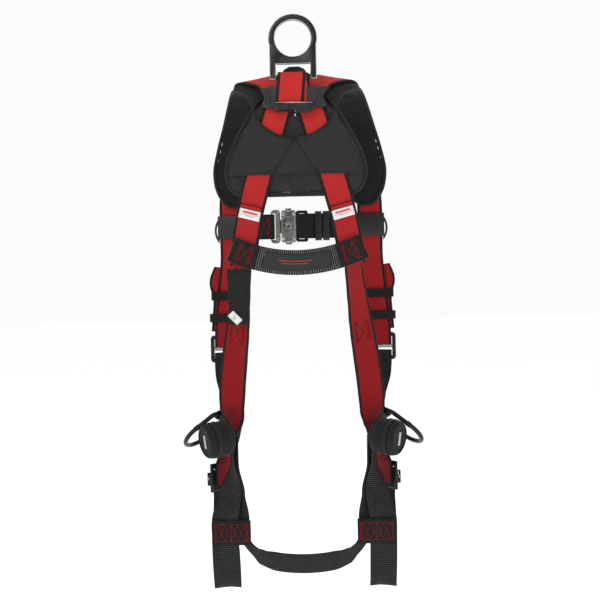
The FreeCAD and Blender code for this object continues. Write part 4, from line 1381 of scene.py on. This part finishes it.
chest = {"y": 243.0, "z": -286.0, "x": 123.0}
for side in "RL":
    refined("chest_slide_" + side, "chestSlide" + side, blackPlastic, "black_plastic", 1.1, 3)


def layered(rows, thick, gap):
    # two layers of webbing lying face to face
    meshes = []
    for way in (-1, 1):
        shifted = [(c + f * (way * gap / 2), s, f, length) for c, s, f, length in rows]
        meshes.append(ribbonMesh("layer", shifted, blackWebbing, thick=thick, selvedge=False))
    return meshes


upWay = (0, 0, 1)
cz, cy = chest["z"], chest["y"]


def chestRows(spots, step=3.0):
    # webbing stood on edge across the chest, through spots given along it and off its middle plane
    return rowsThrough([((x, cy + y, cz), upWay) for x, y in spots], step)


leftRows = chestRows([(-97, -1.2), (-75, -1.2), (-56, -1.6), (-51.5, -2.7), (-48.2, -1.2), (-47.6, 0),
                      (-48.2, 1.2), (-51.5, 2.7), (-56, 1.6), (-75, 1.2), (-97, 1.2)], 2.0)
leftMesh = ribbonMesh("chestWebLeft", leftRows, blackWebbing, 44.5, 1.5, selvedge=False)
chestWebLeft = addObject("chestWebLeft", leftMesh)
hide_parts("chest_strap_L")
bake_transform(chestWebLeft)
boxOnWeb = [[Vector((p.y, p.x)) for p in line] for line in boxPattern(11.0, 15.0)]
sewnBox = stitchMesh("chestBoxStitches", layOn(leftRows, boxOnWeb, 31, -1.0), redThread, 2.2, 0.9, 0.5)
chestBox = addObject("chestBoxStitches", sewnBox)
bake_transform(chestBox)

rightWeb = layered(chestRows([(13.5, 0), (55, 0), (97, 0)]), 1.8, 2.1)
fold = chestRows([(23, -3.6), (10, -3.9), (-4, -3.9), (-8, -3.9)], 2.0)
rightWeb.append(ribbonMesh("foldBack", fold, blackWebbing, 44.5, 2.4, selvedge=False))
turnBack = chestRows([(22, -3.4), (17, -2.6), (13.5, -1.4)], 2.0)
rightWeb.append(ribbonMesh("turnBack", turnBack, blackWebbing, 44.0, 1.9, selvedge=False))
place("chestWebRight", joined("chestWebRight", rightWeb), "chest", "black_webbing", ["chest_strap_R"])
keepers = [sleeveLoop((x, cy, cz), 24.6, 4.0, 11.6, 1.6, blackPlastic, axis="X") for x in (31, 45)]
place("chestKeepers", joined("chestKeepers", keepers), "chest", "black_plastic", ["chest_keepers"])

# painted highlight: the tongue's rounded edges take the bright edge steel
refined("chest_tongue", "chestTongue", buckleSteel, "buckle_steel", 0.8, 3, edgeHighlightMaterial=brightEdge,
        clamped=False)
barPath = [(-41.2, cy - 0.6, cz + z) for z in (-27, -20, -10, 0, 10, 20, 27)]
tongueBar = tubeMesh("tongueBar", barPath, buckleSteel, 4.0, flat=0.62, sides=16)
place("tongueBar", tongueBar, "tongue", "buckle_steel")
# painted highlight: the receiver's rounded edges take the bright edge steel
refined("chest_receiver", "chestReceiver", buckleSteel, "buckle_steel", 0.5, 3, edgeHighlightMaterial=brightEdge)
refined("chest_receiver_cover", "chestReceiverCover", buckleSteel, "buckle_steel", 0.3, 2)
refined("chest_frame", "chestFrame", blackSteel, "black_steel", 1.0, 3)
refined("chest_tab_top", "chestTabTop", buckleSteel, "buckle_steel", 1.2, 3)
refined("chest_tab_bottom", "chestTabBottom", buckleSteel, "buckle_steel", 1.2, 3)

receiver = {"x": (-35.0, -9.3), "rivetX": (-31.5, -12.5), "rivetZ": 22.0, "back": 238.4}
bossed = []
for inset, z0, z1 in ((3.4, -14.5, -6.5), (3.4, 6.5, 14.5)):
    x0, x1 = receiver["x"][0] + inset, receiver["x"][1] - inset
    loop = [(x0, z0), (x0 + 3, z0 - 2.0), (x1 - 3, z0 - 2.0), (x1, z0), (x1, z1), (x1 - 3, z1 + 2.0),
            (x0 + 3, z1 + 2.0), (x0, z1)]
    bossed.append(tubeMesh("boss", [(x, receiver["back"] - 0.1, cz + z) for x, z in loop], buckleSteel, 0.9,
                           closed=True, sides=8))
hub = []
for k in range(24):
    t = k * math.pi / 12
    hub.append((-22 + 4.4 * math.cos(t), receiver["back"] - 0.1, cz + 4.4 * math.sin(t)))
bossed.append(tubeMesh("hub", hub, brightEdge, 0.9, closed=True, sides=8))
rimLine = [(-33.2, -24), (-30, -27.4), (-14.3, -27.4), (-11, -24), (-11, 24), (-14.3, 27.4), (-30, 27.4),
           (-33.2, 24)]
bossed.append(tubeMesh("rim", [(x, receiver["back"] - 0.1, cz + z) for x, z in rimLine], brightEdge, 0.6,
                       closed=True, sides=8))
place("receiverBosses", joined("receiverBosses", bossed), "chest", "buckle_steel")
spots = [(x, y, cz + z) for x in receiver["rivetX"] for z in (-22, 22) for y in (238.1, 248.9)]
rivetHeads = headMesh("rivetHeads", spots, brightEdge, 3.2, 1.1)
rivetPins = [tubeMesh("rivetPin", [(x, 238.2, cz + z), (x, 248.8, cz + z)], buckleSteel, 2.3,
                      flatWay=(0, 0, 1)) for x in receiver["rivetX"] for z in (-22, 22)]
place("chestRivets", joined("chestRivets", [rivetHeads] + rivetPins), "chest", "buckle_steel",
      ["chest_rivets"])

springs = []
for x in (-25.5, -18.5):
    coil = []
    for k in range(141):
        t = k * math.pi / 5
        coil.append((x + 0.85 * math.cos(t), 246.2 + 0.85 * math.sin(t), cz - 12 + 24 * k / 140))
    springs.append(tubeMesh("coil", coil, springSteel, 0.28, flatWay=(0, 0, 1), sides=6))
place("chestTabSprings", joined("chestTabSprings", springs), "chest", "spring_steel", ["chest_tab_springs"])
print("chest strap fitted")


# torso adjusters and leg buckles: black frames with ridged bright bars

for side in "RL":
    refined("torso_adjuster_frame_" + side, "torsoAdjuster" + side, blackSteel, "black_steel", 0.9, 3)
    refined("leg_buckle_frame_" + side, "legBuckle" + side, blackSteel, "black_steel", 0.9, 3)

brightBar = steel("ridgedBarSteel", paint(216, 216, 212), paint(150, 150, 148), rough=0.28)
adjuster = {"x": 134.0, "y": 219.5, "z": -502.0, "half": 29.5, "ridge": 1.8, "height": 6.0, "thick": 2.6}
adjusterRows = rowsThrough([((adjuster["x"] + s * adjuster["half"], adjuster["y"], adjuster["z"]), (0, 0, 1))
                            for s in (-1, 0, 1)], adjuster["ridge"] / 5)
adjusterBar = ribbonMesh("torsoBar", adjusterRows, brightBar, adjuster["height"], adjuster["thick"],
                         rib=(adjuster["ridge"], 0.18), selvedge=False)
placePair("torsoBar", adjusterBar, "buckle_steel", (["torso_adjuster_bar_R"], ["torso_adjuster_bar_L"]),
          ("torso_bar_R", "torso_bar_L"))

legAt = Vector((140, 128, -715))
legWay = Vector((0.55, -0.835, 0)).normalized()
legOut = Vector((0, 0, 1)).cross(legWay)
legMid = legAt + legOut * 5.2 + Vector((0, 0, -1.6))
legBarRows = rowsThrough([(legMid + legWay * (s * 30), (0, 0, 1)) for s in (-1, 0, 1)], 0.36)
legBar = ribbonMesh("legBar", legBarRows, brightBar, 5.6, 2.4, rib=(1.8, 0.18), selvedge=False)
placePair("legBar", legBar, "buckle_steel", (["leg_buckle_bar_R"], ["leg_buckle_bar_L"]),
          ("leg_bar_R", "leg_bar_L"))


# hip rings of round bent rod, in their webbing loops

hipRing = {"at": Vector((140, 130, -615)), "out": Vector((0.791, 0, -0.612)).normalized(), "half": 33.75,
           "reach": 74.25, "rod": 3.75, "corner": 7.0, "tilt": math.radians(20)}
level = Vector((0, 1, 0))
hipAcross = level * math.cos(hipRing["tilt"]) - hipRing["out"].cross(level) * math.sin(hipRing["tilt"])
hipOff = hipRing["out"].cross(hipAcross)


def hipPoint(u, v, n=0.0):
    return hipRing["at"] + hipRing["out"] * u + hipAcross * v + hipOff * n


def hipRingPath():
    d = hipRing
    path = [(0, v) for v in (-d["half"] + d["corner"], -13, 0, 13, d["half"] - d["corner"])]
    for k in range(1, 5):
        t = math.pi / 2 * k / 5
        path.append((d["corner"] * (1 - math.cos(t)), d["half"] - d["corner"] * (1 - math.sin(t))))
    bend = d["reach"] - d["half"]
    path += [(u, d["half"]) for u in (d["corner"], 20, 30)]
    for k in range(25):
        t = math.pi / 2 - math.pi * k / 24
        path.append((bend + d["half"] * math.cos(t), d["half"] * math.sin(t)))
    path += [(u, -d["half"]) for u in (30, 20, d["corner"])]
    for k in range(4, 0, -1):
        t = math.pi / 2 * k / 5
        path.append((d["corner"] * (1 - math.cos(t)), -d["half"] + d["corner"] * (1 - math.sin(t))))
    return [hipPoint(u, v) for u, v in path]


rodMesh = tubeMesh("hipRing", hipRingPath(), blackSteel, hipRing["rod"], closed=True, flatWay=hipOff,
                   sides=18)
collar = tubeMesh("collar", [hipPoint(34 + k, -hipRing["half"]) for k in range(0, 9, 2)], blackSteel, 4.5,
                  flatWay=hipOff, sides=18)
placePair("hipRing", joined("hipRing", [rodMesh, collar]), "black_steel",
          (["hip_d_ring_R"], ["hip_d_ring_L"]), ("hip_ring_R", "hip_ring_L"))

loopStations = [(u, n) for u, n in ((-26, -1.3), (-14, -1.6), (-7, -3.4))]
for k in range(9):
    t = math.radians(-125 + 31.25 * k)
    loopStations.append((5.3 * math.cos(t), 5.3 * math.sin(t)))
loopStations += [(-7, 3.4), (-14, 1.6), (-26, 1.3)]
loopStations = [(hipPoint(u, 0, n), hipAcross) for u, n in loopStations]
hipLoop = ribbonMesh("hipRingLoop", rowsThrough(loopStations, 2.0), blackWebbing, 44.5, 1.8, selvedge=False)
placePair("hipRingLoop", hipLoop, "black_webbing", (["hip_ring_loop_R"], ["hip_ring_loop_L"]))


# relief strap pouches: a zipped drum with a hinged face

reliefPouch = {"at": Vector((140, 65, -645)), "axis": Vector((0.86, -0.48, -0.15)).normalized(), "r": 29.0,
               "body": [(-22, 0), (-22, 20), (-21.4, 25), (-19, 28.2), (-15, 29.2), (-9, 28.8), (-2, 28.4),
                        (-0.5, 29.2), (1, 30.2), (3, 30.2), (4.5, 29.2), (6, 28.6), (7.5, 29.4), (9, 30.2),
                        (11, 29.8), (12, 28.4), (12, 26.5), (-19, 26.5), (-19, 0)],
               "lid": [(12.7, 26.5), (12.7, 28.6), (13.6, 29.7), (15.5, 29.4), (17.5, 28.6), (20.5, 27.9),
                       (22.2, 26.6), (22.9, 24.6), (22.7, 23.2), (22.3, 22.4), (22.4, 8), (22.5, 0),
                       (19.5, 0), (19.5, 26.5)]}


def aroundAxis(at, axis, along, r, turn):
    # the point that lies r from the axis, turned by the angle, the given distance along it
    first = axis.orthogonal().normalized()
    return at + axis * along + (first * math.cos(turn) + axis.cross(first) * math.sin(turn)) * r


def latheMesh(name, profile, at, axis, material, sides=56, closed=False):
    points, uvs, spans = [], [], []
    for along, r in profile:
        if r < 1e-6:
            spans.append((len(points), 1))
            points.append(at + axis * along)
            uvs.append((0, along))
            continue
        spans.append((len(points), sides))
        for k in range(sides):
            t = 2 * math.pi * k / sides
            points.append(aroundAxis(at, axis, along, r, t))
            uvs.append((t * reliefPouch["r"], along))
    faces = []
    pairs = list(zip(spans, spans[1:])) + ([(spans[-1], spans[0])] if closed else [])
    for (a, na), (b, nb) in pairs:
        for k in range(sides):
            j = (k + 1) % sides
            if na == 1 and nb == 1:
                continue
            if na == 1:
                faces.append((a, b + k, b + j))
            elif nb == 1:
                faces.append((a + k, b, a + j))
            else:
                faces.append((a + k, b + k, b + j, a + j))
    mesh = meshOf(name, points, faces, material, uvs)
    outward(mesh)
    return mesh


def ringLine(along, r, sides=120):
    d = reliefPouch
    return [aroundAxis(d["at"], d["axis"], along, r, 2 * math.pi * k / sides) for k in range(sides + 1)]


zipMetal = moulded("zipTeeth", paint(96, 94, 88), paint(46, 45, 43), rough=0.4)
drum = latheMesh("drum", reliefPouch["body"], reliefPouch["at"], reliefPouch["axis"], pouchCloth)
teeth = stitchMesh("zipTeeth", [ringLine(5.8, 28.9)], zipMetal, 1.4, 0.9, 0.75)
seams = stitchMesh("drumSeams", [ringLine(-13, 29.3), ringLine(10, 30.3)], greyThread, 1.8, 1.6, 0.3)
placePair("reliefPouch", joined("reliefPouch", [drum, teeth, seams]), "cover_fabric",
          (["relief_pouch_R"], ["relief_pouch_L"]))
lidMesh = latheMesh("lid", reliefPouch["lid"], reliefPouch["at"], reliefPouch["axis"], pouchCloth,
                    closed=True)
faceRing = tubeMesh("faceRing", ringLine(22.8, 23.4)[:-1], bindingTape, 1.1, closed=True,
                    flatWay=reliefPouch["axis"])
emblemInk = printed("plainEmblem", paint(232, 232, 230))
emblemUp = Vector((0, 0, 1)) - reliefPouch["axis"] * reliefPouch["axis"].z
emblemUp.normalize()
emblemSide = emblemUp.cross(reliefPouch["axis"])
emblemMid = reliefPouch["at"] + reliefPouch["axis"] * 22.9
emblemRows = rowsThrough([(emblemMid + emblemUp * k, emblemSide) for k in (-11, 0, 11)], 2.0)
emblem = ribbonMesh("emblem", emblemRows, emblemInk, 7, 0.6, selvedge=False)
placePair("reliefPouchLid", joined("reliefPouchLid", [lidMesh, faceRing, emblem]), "cover_fabric",
          (["relief_pouch_lid_R"], ["relief_pouch_lid_L"]), ("pouch_lid_R", "pouch_lid_L"))

rollShape = {"inner": 6.5, "outer": 20.5, "count": 150, "perTurn": 24, "along": -4}
roll = []
for k in range(rollShape["count"]):
    r = rollShape["inner"] + (rollShape["outer"] - rollShape["inner"]) * k / (rollShape["count"] - 1)
    turn = k * 2 * math.pi / rollShape["perTurn"]
    spot = aroundAxis(reliefPouch["at"], reliefPouch["axis"], rollShape["along"], r, turn)
    roll.append((spot, reliefPouch["axis"]))
rollMesh = ribbonMesh("reliefStrap", rowsThrough(roll, 4.0), blackWebbing, 24, 1.5, selvedge=False)
placePair("reliefStrap", rollMesh, "black_webbing", (["relief_straps"], ["relief_straps"]))


# floor, light and camera

floorPlan = {"reach": 30.0, "height": -0.935, "glow": 0.62}
reach, level = floorPlan["reach"], floorPlan["height"]
floorMesh = bpy.data.meshes.new("floor")
floorMesh.from_pydata([(-reach, -reach, level), (reach, -reach, level), (reach, reach, level),
                       (-reach, reach, level)], [], [(0, 1, 2, 3)])
floorPaint, floorTree, floorShader = startMaterial("paleFloor", Roughness=0.9)
floorShader.inputs["Emission Color"].default_value = (1, 1, 1, 1)
floorShader.inputs["Emission Strength"].default_value = floorPlan["glow"]
floorTone = noiseOf(floorTree, objectPlace(floorTree)[0], 0.6, 2)
setColour(floorTree, floorShader, mixColour(floorTree, floorTone, paint(244, 244, 244), paint(250, 250, 250)))
floorMesh.materials.append(floorPaint)
floor = addObject("floor", floorMesh)

world = bpy.data.worlds.new("softRoom")
scene.world = world
world.use_nodes = True
room = world.node_tree
room.nodes.clear()
seen = addNode(room, "ShaderNodeBackground", {"Color": (1, 1, 1, 1), "Strength": 0.97})
soft = addNode(room, "ShaderNodeBackground", {"Color": (1, 1, 1, 1), "Strength": 0.4})
ray = addNode(room, "ShaderNodeLightPath")
both = addNode(room, "ShaderNodeMixShader", {0: ray.outputs["Is Camera Ray"], 1: soft.outputs[0],
                                             2: seen.outputs[0]})
roomOut = addNode(room, "ShaderNodeOutputWorld", {"Surface": both.outputs[0]})

lamps = {"key": ((-0.9, -2.2, 0.9), 1.2, 17), "fill": ((1.6, -1.9, -0.2), 1.4, 6),
         "top": ((0.1, -0.3, 1.6), 1.2, 10), "rim": ((0.6, 1.8, 0.3), 1.0, 8)}
middle = Vector((0, 0.1, -0.42))
for name, (spot, size, power) in lamps.items():
    lamp = bpy.data.lights.new(name, "AREA")
    lamp.size = size
    lamp.energy = power
    holder = addObject(name, lamp)
    holder.location = spot
    holder.rotation_euler = (middle - Vector(spot)).to_track_quat("-Z", "Y").to_euler()

shot = {"lens": 76.3, "away": 2.131, "height": -0.418, "pivot": (0.0, 0.1), "turn": 1.8, "roll": 1.2}
camera = bpy.data.cameras.new("camera")
camera.lens = shot["lens"]
camera.sensor_width = 36
view = addObject("camera", camera)
turn = math.radians(shot["turn"])
pivot = Vector((shot["pivot"][0], shot["pivot"][1], shot["height"]))
view.location = pivot + Vector((math.sin(turn), -math.cos(turn), 0)) * shot["away"]
view.rotation_euler = (math.radians(90), math.radians(shot["roll"]), turn)
camera.clip_end = 50
scene.camera = view
scene.view_settings.view_transform = "Standard"
print("stage, lights and camera set")
